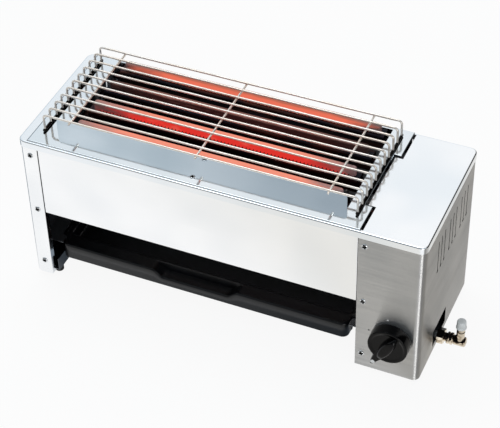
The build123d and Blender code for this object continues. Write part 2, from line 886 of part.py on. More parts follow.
# Piezo igniter beside the valve, with a bore for its plunger
with BuildPart() as igniter:
    with BuildSketch(Plane.XZ.offset(-valve_front)):
        with Locations((igniter_x, knob_z)):
            RectangleRounded(igniter_size, igniter_size, igniter_size / 7)
    extrude(amount=-igniter_length)
    with BuildSketch(Plane.XZ.offset(-valve_front)):
        with Locations((igniter_x, knob_z)):
            Circle(plunger_radius + running_gap)
    extrude(amount=-plunger_reach, mode=Mode.SUBTRACT)
igniter.part.label = "igniter"
export_step(igniter.part, "parts/igniter.step")

# Collar that moves in with the stem but doesn't turn, with an arm that reaches the igniter's plunger
collar_front = inner_front + collar_setback
collar_back = collar_front + collar_thickness
with BuildPart() as push_collar:
    with BuildSketch(Plane.XZ.offset(-collar_front)):
        with Locations((knob_x, knob_z)):
            Circle(collar_radius)
        with Locations(((knob_x + igniter_x) / 2, knob_z)):
            SlotCenterToCenter(igniter_offset, 3 * plunger_radius)
        with Locations((knob_x, knob_z)):
            Circle(stem_radius + running_gap, mode=Mode.SUBTRACT)
    extrude(amount=-collar_thickness)
push_collar.part.label = "push_collar"
export_step(push_collar.part, "parts/push_collar.step")

# Plunger of the igniter, pressed by the collar's arm
with BuildPart() as igniter_plunger:
    with BuildSketch(Plane.XZ.offset(-collar_back)):
        with Locations((igniter_x, knob_z)):
            Circle(plunger_radius)
    extrude(amount=-plunger_reach)
igniter_plunger.part.label = "igniter_plunger"
export_step(igniter_plunger.part, "parts/igniter_plunger.step")

# Stem with the two shoulders that hold the collar, from inside the knob to inside the valve
stem_front = face_y - knob_gap - stem_in_knob
stem_back = valve_front + stem_in_valve
with BuildPart() as valve_stem:
    with BuildSketch(Plane.XZ.offset(-stem_front)):
        with Locations((knob_x, knob_z)):
            Circle(stem_radius)
    extrude(amount=stem_front - stem_back)
    for y0 in (collar_front - collar_gap - collar_thickness, collar_back + collar_gap):
        with BuildSketch(Plane.XZ.offset(-y0)):
            with Locations((knob_x, knob_z)):
                Circle(shoulder_radius)
        extrude(amount=-collar_thickness)
valve_stem.part.label = "valve_stem"
export_step(valve_stem.part, "parts/valve_stem.step")

# Knob: a disc with a raised lens-shaped grip that runs on into a pointer past the rim
knob_back = face_y - knob_gap
pointer_direction = (cos(radians(pointer_angle)), 0, sin(radians(pointer_angle)))
knob_plane = Plane(origin=(knob_x, knob_back, knob_z), x_dir=pointer_direction, z_dir=(0, -1, 0))
with BuildPart() as knob:
    with BuildSketch(knob_plane):
        Circle(knob_radius)
    extrude(amount=knob_thickness, taper=knob_taper)
    fillet(knob.edges().group_by(Axis.Y)[0], knob_edge_radius)
    with BuildSketch(knob_plane.offset(knob_thickness)):
        with BuildLine():
            ThreePointArc((-grip_half_length, 0), (0, grip_half_width), (grip_half_length, 0))
            ThreePointArc((-grip_half_length, 0), (0, -grip_half_width), (grip_half_length, 0))
        make_face()
    extrude(amount=grip_height, taper=grip_taper)
    with BuildSketch(knob_plane.offset(pointer_step)):
        with BuildLine():
            Polyline(
                (0, -pointer_root_width / 2),
                (grip_half_length, -pointer_root_width / 2),
                (pointer_reach - pointer_tip_radius, -pointer_tip_radius),
            )
            ThreePointArc(
                (pointer_reach - pointer_tip_radius, -pointer_tip_radius),
                (pointer_reach, 0),
                (pointer_reach - pointer_tip_radius, pointer_tip_radius),
            )
            Polyline(
                (pointer_reach - pointer_tip_radius, pointer_tip_radius),
                (grip_half_length, pointer_root_width / 2),
                (0, pointer_root_width / 2),
                (0, -pointer_root_width / 2),
            )
        make_face()
    extrude(amount=knob_thickness - pointer_step + dot_thickness)
    with BuildSketch(knob_plane):
        Circle(stem_radius + running_gap)
    extrude(amount=stem_in_knob + running_gap, mode=Mode.SUBTRACT)
knob.part.label = "knob"
export_step(knob.part, "parts/knob.step")

# White dot on the pointer's tip
with BuildPart() as knob_dot:
    with BuildSketch(knob_plane.offset(knob_thickness + dot_thickness)):
        with Locations((pointer_reach - pointer_tip_radius, 0)):
            Circle(dot_radius)
    extrude(amount=dot_thickness)
knob_dot.part.label = "knob_dot"
export_step(knob_dot.part, "parts/knob_dot.step")

# Inlet pipe from the union nut through the side opening to the valve's lower boss
valve_inlet_z = knob_z - valve_radius - valve_boss_length
with BuildPart() as inlet_pipe:
    with BuildLine():
        FilletPolyline(
            (right + nut_gap + nut_length / 2, pipe_y, pipe_z),
            (knob_x, pipe_y, pipe_z),
            (knob_x, valve_boss_y, pipe_z),
            (knob_x, valve_boss_y, valve_inlet_z),
            radius=pipe_bend,
        )
    with BuildSketch(Plane.YZ.offset(right + nut_gap + nut_length / 2)):
        with Locations((pipe_y, pipe_z)):
            Circle(pipe_radius)
            Circle(pipe_bore_radius, mode=Mode.SUBTRACT)
    sweep()
inlet_pipe.part.label = "inlet_pipe"
export_step(inlet_pipe.part, "parts/inlet_pipe.step")

# Supply pipe from the valve's upper boss to the manifold
valve_outlet_z = knob_z + valve_radius + valve_boss_length
supply_y = first_burner_y
with BuildPart() as supply_pipe:
    with BuildLine():
        FilletPolyline(
            (knob_x, valve_boss_y, valve_outlet_z),
            (knob_x, valve_boss_y, valve_outlet_z + 2 * supply_bend),
            (manifold_x, supply_y, mixer_z - manifold_radius - 3 * supply_bend),
            (manifold_x, supply_y, mixer_z - manifold_radius),
            radius=supply_bend,
        )
    with BuildSketch(Plane.XY.offset(valve_outlet_z)):
        with Locations((knob_x, valve_boss_y)):
            Circle(supply_radius)
            Circle(supply_bore_radius, mode=Mode.SUBTRACT)
    sweep()
supply_pipe.part.label = "supply_pipe"
export_step(supply_pipe.part, "parts/supply_pipe.step")

# Ceramic insulator through the partition and the electrode rod that ends beside the front ports
electrode_y = first_burner_y + electrode_offset
with BuildPart() as electrode_insulator:
    with Locations(Location((partition_x, electrode_y, mixer_z), along_x)):
        Cylinder(insulator_radius, 2 * insulator_half_length)
electrode_insulator.part.label = "electrode_insulator"
export_step(electrode_insulator.part, "parts/electrode_insulator.step")

electrode_root_x = partition_x - insulator_half_length
with BuildPart() as electrode_rod:
    with BuildLine():
        FilletPolyline(
            (electrode_root_x, electrode_y, mixer_z),
            (burner_right + burner_end_gap / 2, electrode_y, mixer_z),
            (
                radiant_right,
                first_burner_y + electrode_tip_offset,
                burner_top + electrode_tip_rise,
            ),
            radius=2 * electrode_radius,
        )
    with BuildSketch(Plane.YZ.offset(electrode_root_x)):
        with Locations((electrode_y, mixer_z)):
            Circle(electrode_radius)
    sweep()
electrode_rod.part.label = "electrode_rod"
export_step(electrode_rod.part, "parts/electrode_rod.step")

# Ignition lead from the insulator down to the back of the igniter
lead_drop = mixer_z - knob_z
lead_top_x = partition_x + insulator_half_length
igniter_back = valve_front + igniter_length
lead_points = [
    (lead_top_x, electrode_y, mixer_z),
    (lead_top_x + lead_tail, electrode_y, mixer_z),
    (partition_x + lead_sway, electrode_y + lead_slack * 0.4, mixer_z - 0.12 * lead_drop),
    (partition_x + lead_sway * 0.9, electrode_y + lead_slack * 0.75, mixer_z - 0.33 * lead_drop),
    (partition_x + lead_sway * 0.83, electrode_y + lead_slack, mixer_z - 0.61 * lead_drop),
    (igniter_x, electrode_y + lead_slack * 0.6, mixer_z - 0.86 * lead_drop),
    (igniter_x, igniter_back + lead_tail * 1.15, knob_z),
    (igniter_x, igniter_back, knob_z),
]


def bend_radii(points):
    """Radius of each bend: 0.45 of the shorter run, over the tangent of half the turn."""
    vectors = [Vector(b) - Vector(a) for a, b in zip(points, points[1:])]
    radii = []
    for one, two in zip(vectors, vectors[1:]):
        half_turn = radians(one.get_angle(two) / 2)
        radii.append(0.45 * min(one.length, two.length) * cos(half_turn) / sin(half_turn))
    return radii


lead_radii = bend_radii(lead_points)
print("ignition lead bend radii", [round(radius, 1) for radius in lead_radii])
with BuildPart() as ignition_lead:
    with BuildLine() as lead_path:
        FilletPolyline(*lead_points, radius=lead_radii)
    with BuildSketch(Plane(origin=lead_path.line @ 0, z_dir=lead_path.line % 0)):
        Circle(lead_radius)
    sweep()
ignition_lead.part.label = "ignition_lead"
export_step(ignition_lead.part, "parts/ignition_lead.step")

# Union nut outside the control box, round the end of the pipe and the elbow's tail
nut_left = right + nut_gap
nut_right = nut_left + nut_length
with BuildPart() as union_nut:
    with BuildSketch(Plane.YZ.offset(nut_left)):
        with Locations((pipe_y, pipe_z)):
            RegularPolygon(nut_across_flats / 2, 6, major_radius=False)
    extrude(amount=nut_length)
    with BuildSketch(Plane.YZ.offset(nut_left)):
        with Locations((pipe_y, pipe_z)):
            Circle(pipe_radius)
    extrude(amount=nut_length / 2, mode=Mode.SUBTRACT)
    with BuildSketch(Plane.YZ.offset(nut_right)):
        with Locations((pipe_y, pipe_z)):
            Circle(union_radius + running_gap)
    extrude(amount=-nut_length / 2, mode=Mode.SUBTRACT)
union_nut.part.label = "union_nut"
export_step(union_nut.part, "parts/union_nut.step")

# Elbow that swivels in the nut, with the upright hose end
elbow_x = right + elbow_offset
upright_top = pipe_z + elbow_radius + upright_length
with BuildPart() as inlet_elbow:
    with BuildSketch(Plane.YZ.offset(nut_left + nut_length / 2 + collar_gap)):
        with Locations((pipe_y, pipe_z)):
            Circle(union_radius)
    extrude(amount=elbow_x - elbow_end - nut_left - nut_length / 2 - collar_gap)
    with BuildSketch(Plane.YZ.offset(nut_right + collar_gap)):
        with Locations((pipe_y, pipe_z)):
            Circle(coupling_radius)
    extrude(amount=elbow_x - elbow_end - nut_right - collar_gap)
    with BuildSketch(Plane.YZ.offset(elbow_x - elbow_end)):
        with Locations((pipe_y, pipe_z)):
            Circle(elbow_radius)
    extrude(amount=2 * elbow_end)
    chamfer(inlet_elbow.edges().group_by(Axis.X)[-1], elbow_radius / 7)
    with Locations((elbow_x, pipe_y, pipe_z)):
        Cylinder(upright_radius, elbow_radius + upright_length, align=flat_middle)
    with Locations((elbow_x, pipe_y, upright_top)):
        Cylinder(nipple_radius, nipple_length, align=flat_middle)
    with Locations((elbow_x, pipe_y, pipe_z)):
        Cylinder(
            nipple_bore_radius,
            elbow_radius + upright_length + nipple_length,
            align=flat_middle,
            mode=Mode.SUBTRACT,
        )
    with BuildSketch(Plane.YZ.offset(elbow_x)):
        with Locations((pipe_y, pipe_z)):
            Circle(nipple_bore_radius)
    extrude(amount=nut_left - elbow_x, mode=Mode.SUBTRACT)
inlet_elbow.part.label = "inlet_elbow"
export_step(inlet_elbow.part, "parts/inlet_elbow.step")

# Protective cap over the hose end
cap_bottom = upright_top + collar_gap
cap_bore_depth = cap_length - 2 * cap_dome / 3
with BuildPart() as inlet_cap:
    with Locations((elbow_x, pipe_y, cap_bottom)):
        Cylinder(cap_radius, cap_length, align=flat_middle)
    fillet(inlet_cap.edges().group_by(Axis.Z)[-1], cap_dome)
    with Locations((elbow_x, pipe_y, cap_bottom)):
        Cylinder(nipple_radius + cap_clearance, cap_bore_depth, align=flat_middle, mode=Mode.SUBTRACT)
inlet_cap.part.label = "inlet_cap"
export_step(inlet_cap.part, "parts/inlet_cap.step")

# Runners that carry the tray's side rims
runner_back = inner_back - panel_return - lap_gap
for name, x_wall, x_tip in (
    ("left", chassis_inside, tray_left - runner_body_gap),
    ("right", partition_x, tray_right + runner_body_gap),
):
    inward = 1 if x_tip > x_wall else -1
    with BuildPart() as runner:
        block(
            min(x_wall, x_tip),
            max(x_wall, x_tip),
            front + runner_front,
            runner_back,
            runner_top - chassis_sheet,
            runner_top,
        )
        block(
            min(x_wall, x_wall + inward * chassis_sheet),
            max(x_wall, x_wall + inward * chassis_sheet),
            front + runner_front,
            runner_back,
            runner_top - runner_leg,
            runner_top,
        )
    runner.part.label = f"tray_runner_{name}"
    export_step(runner.part, f"parts/tray_runner_{name}.step")

# Drip tray: pressed basin with a side and back rim, a hollow front deck and a finger recess in it
tray_middle_x = (tray_left + tray_right) / 2
tray_middle_y = (tray_front + tray_back) / 2
basin_front = tray_front + tray_deck
recess_x = tray_middle_x + recess_offset
recess_floor = tray_top - recess_depth
with BuildPart() as drip_tray:
    with BuildSketch(Plane.XY.offset(tray_bottom)):
        with Locations((tray_middle_x, tray_middle_y)):
            RectangleRounded(tray_right - tray_left, tray_back - tray_front, tray_corner)
    extrude(amount=tray_depth)
    with BuildSketch(Plane.XY.offset(tray_top)):
        with Locations((tray_middle_x, (basin_front + tray_back) / 2)):
            RectangleRounded(
                tray_right - tray_left + 2 * tray_rim,
                tray_back - basin_front + 2 * tray_sheet,
                tray_corner,
            )
    extrude(amount=-tray_sheet)
    with BuildSketch(Plane.XY.offset(tray_bottom + tray_sheet)):
        with Locations((tray_middle_x, (basin_front + tray_back) / 2)):
            RectangleRounded(
                tray_right - tray_left - 2 * tray_sheet,
                tray_back - basin_front - 2 * tray_sheet,
                tray_corner - tray_sheet,
            )
    extrude(amount=tray_depth, mode=Mode.SUBTRACT)
    block(
        tray_left + tray_corner,
        tray_right - tray_corner,
        tray_front + tray_sheet,
        basin_front,
        tray_bottom,
        tray_top - tray_sheet,
        Mode.SUBTRACT,
    )
    for grow, mode in ((tray_sheet, Mode.ADD), (0, Mode.SUBTRACT)):
        with BuildSketch(Plane.XZ.offset(-tray_front)):
            with BuildLine():
                Polyline(
                    (recess_x - recess_width / 2 - grow, tray_top),
                    (recess_x - recess_width / 2 + recess_slope - grow, recess_floor - grow),
                    (recess_x + recess_width / 2 - recess_slope + grow, recess_floor - grow),
                    (recess_x + recess_width / 2 + grow, tray_top),
                    close=True,
                )
            make_face()
        extrude(amount=-(tray_deck - 2 * tray_sheet + grow), mode=mode)
drip_tray.part.label = "drip_tray"
export_step(drip_tray.part, "parts/drip_tray.step")

# Wire grid: the straight top stretches of the long wires
with BuildPart() as grid_wires:
    with Locations(
        *[
            Location(((grid_left + grid_right) / 2, y, wire_z), along_x)
            for y in wire_rows
        ]
    ):
        Cylinder(wire_radius, grid_right - grid_left - 2 * wire_bend)
grid_wires.part.label = "grid_wires"
export_step(grid_wires.part, "parts/grid_wires.step")

# Wire grid: the bent-down ends of the long wires, saddled on the foot bars
along_y = (90, 0, 0)
wire_middle_y = (wire_first_y + wire_last_y) / 2
bar_places = [Location((x, wire_middle_y, bar_z), along_y) for x in (grid_left, grid_right)]
with BuildPart() as grid_legs:
    for x_end, inward in ((grid_left, 1), (grid_right, -1)):
        for y in wire_rows:
            with BuildSketch(Plane.XY.offset(bar_z)):
                with Locations((x_end, y)):
                    Circle(wire_radius)
            extrude(amount=wire_z - wire_bend - bar_z)
            with BuildSketch(Plane.XY.offset(wire_z - wire_bend)):
                with Locations((x_end, y)):
                    Circle(wire_radius)
            bend_x = x_end + inward * wire_bend
            revolve(
                axis=Axis((bend_x, y, wire_z - wire_bend), (0, inward, 0)),
                revolution_arc=90,
            )
    with Locations(*bar_places):
        Cylinder(bar_radius, bar_length, mode=Mode.SUBTRACT)
grid_legs.part.label = "grid_legs"
export_step(grid_legs.part, "parts/grid_legs.step")

# Wire grid: cross rods welded under the long wires
rod_z = wire_z - wire_radius - rod_radius
rod_columns = [
    grid_left + rod_end_inset,
    (grid_left + grid_right) / 2,
    grid_right - rod_end_inset,
]
with BuildPart() as grid_rods:
    with Locations(*[Location((x, wire_middle_y, rod_z), along_y) for x in rod_columns]):
        Cylinder(rod_radius, wire_last_y - wire_first_y + 2 * (wire_radius + rod_overhang))
grid_rods.part.label = "grid_rods"
export_step(grid_rods.part, "parts/grid_rods.step")

# Wire grid: foot bars under the bent-down ends
with BuildPart() as grid_bars:
    with Locations(*bar_places):
        Cylinder(bar_radius, bar_length)
grid_bars.part.label = "grid_bars"
export_step(grid_bars.part, "parts/grid_bars.step")

# Screws of the front and back posts
for name, outer_y, outward in (("front", face_y, -1), ("back", back - sheet, 1)):
    with BuildPart() as screws:
        with BuildSketch(Plane.XZ.offset(-outer_y)):
            with Locations(*screw_places):
                Circle(screw_head_radius)
        extrude(amount=-outward * screw_head_height, taper=screw_head_taper)
        with BuildSketch(Plane.XZ.offset(-outer_y)):
            with Locations(*screw_places):
                Circle(screw_radius)
        extrude(amount=outward * screw_length)
        with Locations(*[(x, outer_y + outward * screw_head_height, z) for x, z in screw_places]):
            Box(screw_slot_length, 2 * screw_slot_depth, screw_slot_width, mode=Mode.SUBTRACT)
            Box(screw_slot_width, 2 * screw_slot_depth, screw_slot_length, mode=Mode.SUBTRACT)
    screws.part.label = f"{name}_screws"
    export_step(screws.part, f"parts/{name}_screws.step")
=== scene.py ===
import json
import logging
import math
from dataclasses import dataclass
from enum import Enum
from typing import Any, Iterable, Optional, Sequence

import bpy
import bmesh
import numpy as np
from mathutils import Matrix, Vector


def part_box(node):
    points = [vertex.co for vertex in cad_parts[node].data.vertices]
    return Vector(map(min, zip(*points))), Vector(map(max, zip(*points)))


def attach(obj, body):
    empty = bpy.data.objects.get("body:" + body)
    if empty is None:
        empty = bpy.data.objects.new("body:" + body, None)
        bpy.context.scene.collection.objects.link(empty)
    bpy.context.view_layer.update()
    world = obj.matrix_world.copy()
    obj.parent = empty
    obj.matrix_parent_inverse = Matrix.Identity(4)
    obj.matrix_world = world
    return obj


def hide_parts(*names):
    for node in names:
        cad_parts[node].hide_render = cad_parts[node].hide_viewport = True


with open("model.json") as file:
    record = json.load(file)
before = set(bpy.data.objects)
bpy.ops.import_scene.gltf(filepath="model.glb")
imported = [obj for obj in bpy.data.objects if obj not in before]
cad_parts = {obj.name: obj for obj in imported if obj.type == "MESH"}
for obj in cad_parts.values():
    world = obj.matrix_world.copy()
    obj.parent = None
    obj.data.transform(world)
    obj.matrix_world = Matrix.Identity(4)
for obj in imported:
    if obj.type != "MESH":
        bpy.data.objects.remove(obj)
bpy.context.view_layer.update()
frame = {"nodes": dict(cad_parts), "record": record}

MM = 0.001
RECESS = "recess"
# Nearly all of a noise's values lie in this range, so it stands for the whole swing.
NOISE_SWING = {"From Min": 0.3, "From Max": 0.7}
# Inputs and output of a colour mix by number, because its other kinds share their names.
SHARE, UNDER, OVER, MIXED = 0, 6, 7, 2
WHITE = (1.0, 1.0, 1.0, 1.0)
# Points nearer than this, in metres, are one, and edges turned by more than the angle stay sharp.
MERGE_DISTANCE = 1e-6
SHARP_ANGLE = math.radians(40)
log = logging.getLogger("gas_grill")

Patch = tuple[np.ndarray, list[list[int]]]
Corners = tuple[np.ndarray, np.ndarray]
Direction = tuple[float, float, float]
Stops = tuple[tuple[float, str], ...]
Tree = bpy.types.NodeTree
Socket = bpy.types.NodeSocket


def linear(hex_colour: str) -> tuple[float, float, float, float]:
    """Turns an sRGB hex colour into the linear values that shaders use.

    Args:
        hex_colour: Six hex digits with a leading hash.

    Returns:
        Red, green, blue and an alpha of one, all linear.
    """
    channels = np.array([int(hex_colour[i : i + 2], 16) / 255 for i in (1, 3, 5)])
    low = channels / 12.92
    high = ((channels + 0.055) / 1.055) ** 2.4
    red, green, blue = np.where(channels <= 0.04045, low, high)
    return float(red), float(green), float(blue), 1.0


def add_node(tree: Tree, kind: str, output: Any, settings: Optional[dict[Any, Any]] = None) -> Socket:
    """Adds one node with its settings and links.

    Args:
        tree: Node tree of a material or the world.
        kind: Type name of the node, without the ShaderNode that all of them start with.
        output: Name or number of the output that is wanted.
        settings: Values or source sockets by input name or number, values by property name, and a
            ramp's colours by "stops".

    Returns:
        The node's output socket.
    """
    node = tree.nodes.new("ShaderNode" + kind)
    for key, value in (settings or {}).items():
        if key == "stops":
            ramp = node.color_ramp
            while len(ramp.elements) < len(value):
                ramp.elements.new(1.0)
            for element, (place, colour) in zip(ramp.elements, value):
                element.position = place
                element.color = linear(colour)
        elif not (isinstance(key, int) or key in node.inputs):
            setattr(node, key, value)
        elif isinstance(value, Socket):
            tree.links.new(value, node.inputs[key])
        else:
            node.inputs[key].default_value = value
    return node.outputs[output]


@dataclass(frozen=True)
class Cells:
    """A noise's cell size along X, Y and Z in millimetres, its octaves and its shift."""

    x: float
    y: float
    z: float
    octaves: float = 2.0
    shift: float = 0.0


class Pattern(Enum):
    """Slow and fine patterns, each with cells of a real size."""

    SHEET_CLOUD = Cells(90.0, 90.0, 90.0, 1.0, 7.3)
    LENGTHWISE_GRAIN = Cells(80.0, 1.4, 1.4, 3.0)
    LEVEL_GRAIN = Cells(110.0, 110.0, 1.8, 3.0)
    HEAT_TINT = Cells(70.0, 18.0, 14.0, 3.0)
    SCALE_PITS = Cells(1.2, 1.2, 1.2, 3.0, 3.1)
    WIRE_TINT = Cells(45.0, 30.0, 30.0)
    DRAWING_LINES = Cells(20.0, 1.0, 1.0, 2.0, 1.7)
    GLOW_MOTTLE = Cells(26.0, 6.0, 6.0, 3.0)
    GLOW_BORDER = Cells(40.0, 9.0, 9.0, 2.0, 9.1)
    CERAMIC_PITS = Cells(1.0, 1.0, 1.0, 3.0, 5.0)
    SKIN_MOTTLE = Cells(22.0, 22.0, 22.0)
    FINE_GRIT = Cells(0.8, 0.8, 0.8, 2.0, 2.2)
    ENAMEL_RIPPLE = Cells(2.5, 2.5, 2.5, 2.0, 2.2)
    DIE_MARKS = Cells(0.8, 0.8, 0.8)
    SHADE_EDGE = Cells(7.0, 7.0, 7.0, 1.0, 4.4)
    TURNING_MARKS = Cells(0.5, 3.0, 3.0)

    def noise(self, tree: Tree) -> Socket:
        """Adds the noise, laid on the piece's own coordinates.

        Args:
            tree: Material's node tree.

        Returns:
            The noise's value.
        """
        cells = self.value
        scale = [1.0 / (size * MM) for size in (cells.x, cells.y, cells.z)]
        place = add_node(tree, "TexCoord", "Object")
        grid = add_node(
            tree, "Mapping", "Vector",
            {"Vector": place, "Scale": scale, "Location": (cells.shift,) * 3}
        )
        return add_node(
            tree, "TexNoise", "Fac", {"Vector": grid, "Scale": 1.0, "Detail": cells.octaves}
        )

    def swing(self, tree: Tree, low: float, high: float) -> Socket:
        """Adds the noise with its swing mapped to a range."""
        ends = {**NOISE_SWING, "To Min": low, "To Max": high}
        return add_node(tree, "MapRange", "Result", {"Value": self.noise(tree), **ends})


@dataclass(frozen=True)
class Finish:
    """Mottled colour, uneven gloss and a fine relief.

    The colour is a ramp over a slow noise, or over what a kind of finish puts in its place. Gloss
    and relief follow one fine noise.
    """

    name: str
    colour: str
    roughness: float
    second: str = "#101012"
    metallic: float = 0.0
    coat: float = 0.0
    sheen: float = 0.5
    mottle: Pattern = Pattern.SKIN_MOTTLE
    texture: Pattern = Pattern.FINE_GRIT
    depth: float = 0.03
    spread: tuple[float, float] = (0.05, 0.05)

    def material(self) -> bpy.types.Material:
        """Makes the material once and gives the same one after that.

        Returns:
            The material.
        """
        made = bpy.data.materials.get(self.name)
        if made is None:
            made = bpy.data.materials.new(self.name)
            made.use_nodes = True
            made.diffuse_color = linear(self.colour)
            self.dress(made.node_tree, made.node_tree.nodes["Principled BSDF"])
        return made

    def dress(self, tree: Tree, shader: bpy.types.Node) -> None:
        """Sets the shader's constants and links what varies to it.

        Args:
            tree: Material's node tree.
            shader: Its plain shader.
        """
        shader.inputs["Base Color"].default_value = linear(self.colour)
        shader.inputs["Roughness"].default_value = self.roughness
        shader.inputs["Metallic"].default_value = self.metallic
        shader.inputs["Coat Weight"].default_value = self.coat
        shader.inputs["Specular IOR Level"].default_value = self.sheen
        value = self.value(tree)
        bump = {"Height": self.texture.noise(tree), "Strength": 1.0, "Distance": self.depth * MM}
        sources = {
            "Base Color": self.tint(tree, value), "Normal": add_node(tree, "Bump", "Normal", bump),
            **self.gloss(tree, value), **self.glow(tree, value)
        }
        for name, source in sources.items():
            tree.links.new(source, shader.inputs[name])

    def value(self, tree: Tree) -> Socket:
        """What the colour ramp runs over: a slow noise."""
        return self.mottle.noise(tree)

    def stops(self) -> Stops:
        """Places and colours of the ramp."""
        return (0.35, self.second), (0.65, self.colour)

    def tint(self, tree: Tree, value: Socket) -> Socket:
        """The ramp's colour over a value."""
        return add_node(tree, "ValToRGB", "Color", {"Fac": value, "stops": self.stops()})

    def gloss(self, tree: Tree, value: Socket) -> dict[str, Socket]:
        """Source of the roughness, which swings about its own figure with the fine noise."""
        low, high = self.roughness - self.spread[0], self.roughness + self.spread[1]
        return {"Roughness": self.texture.swing(tree, low, high)}

    def glow(self, tree: Tree, value: Socket) -> dict[str, Socket]:
        """Sources of the shader's emission inputs, for what glows."""
        return {}


@dataclass(frozen=True)
class SheetSteel(Finish):
    """Rolled or brushed stainless sheet: fine parallel grain that streaks the reflections."""

    second: str = "#b9bcc0"
    metallic: float = 1.0
    mottle: Pattern = Pattern.SHEET_CLOUD
    texture: Pattern = Pattern.LENGTHWISE_GRAIN
    depth: float = 0.002
    stretch: float = 0.0
    # Colour of the painted shade inside the dark zone, on sheets that have one.
    painted_shade: str = "#1d1a18"

    def dress(self, tree: Tree, shader: bpy.types.Node) -> None:
        """Stretches the reflections across the grain as well.

        Args:
            tree: Material's node tree.
            shader: Its plain shader.
        """
        shader.inputs["Anisotropic"].default_value = self.stretch
        shader.inputs["Anisotropic Rotation"].default_value = 0.25
        super().dress(tree, shader)

    def dark_zone(self) -> tuple[tuple[float, float], ...]:
        """Lowest and highest X, and Y, of the zone of painted shade in metres, on sheets that have one.
        """
        return ()

    def tint(self, tree: Tree, value: Socket) -> Socket:
        """The ramp's colour, and a flat painted shade inside the dark zone.

        Args:
            tree: Material's node tree.
            value: What the colour ramp runs over.

        Returns:
            The colour.
        """
        colour = super().tint(tree, value)
        inside = None
        for axis, (low, high) in zip("XY", self.dark_zone()):
            place = add_node(tree, "TexCoord", "Object")
            along = add_node(tree, "SeparateXYZ", axis, {0: place})
            within = {"operation": "COMPARE", 0: along, 1: (low + high) / 2, 2: (high - low) / 2}
            near = add_node(tree, "Math", "Value", within)
            both = {"operation": "MULTIPLY", 0: inside, 1: near}
            inside = add_node(tree, "Math", "Value", both) if inside else near
        # Painted shade: the zone takes one flat dark colour in place of the shade there.
        if inside:
            mix = {"data_type": "RGBA", SHARE: inside, UNDER: colour, OVER: linear(self.painted_shade)}
            colour = add_node(tree, "Mix", MIXED, mix)
        return colour


@dataclass(frozen=True)
class PunchedSheet(SheetSteel):
    """Sheet with punched air slits whose cut edges are painted dark: painted shade inside the slits."""

    bend: float = 12.0
    skin: float = 0.04
    sheet: float = 1.0

    def dark_zone(self) -> tuple[tuple[float, float], ...]:
        """Inside of the sheet on the housing's right, away from its bends and its two faces."""
        low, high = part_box("control_housing")
        x_span = (high.x - (self.sheet - self.skin) * MM, high.x - self.skin * MM)
        return x_span, (low.y + self.bend * MM, high.y - self.bend * MM)


@dataclass(frozen=True)
class SeamedSheet(SheetSteel):
    """Sheet with a painted shadow line in the corner where the drip plate's left edge meets it."""

    seam: float = 1.8

    def dark_zone(self) -> tuple[tuple[float, float], ...]:
        """A narrow strip along the drip plate's left edge."""
        low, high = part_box("drip_plate")
        return (low.x - self.seam * MM, low.x + self.seam * MM), (low.y, high.y)


@dataclass(frozen=True)
class HeatedSteel(Finish):
    """Stainless that has been red hot: straw, brown and blue bands over a dull grey."""

    metallic: float = 0.85
    mottle: Pattern = Pattern.HEAT_TINT
    texture: Pattern = Pattern.SCALE_PITS
    depth: float = 0.05
    spread: tuple[float, float] = (0.1, 0.1)

    def stops(self) -> Stops:
        """Heat tints in long drifting patches."""
        return (0.3, "#0d111c"), (0.45, self.colour), (0.6, "#3a1f18"), (0.76, "#182236")


@dataclass(frozen=True)
class PlatedWire(Finish):
    """Drawn wire with bright plating, faintly straw-coloured from the heat."""

    second: str = "#f6ebde"
    metallic: float = 0.5
    mottle: Pattern = Pattern.WIRE_TINT
    texture: Pattern = Pattern.DRAWING_LINES
    depth: float = 0.01
    spread: tuple[float, float] = (0.05, 0.08)

    def stops(self) -> Stops:
        """Slow drift from straw to the plating's own colour."""
        return (0.4, self.second), (0.62, self.colour)


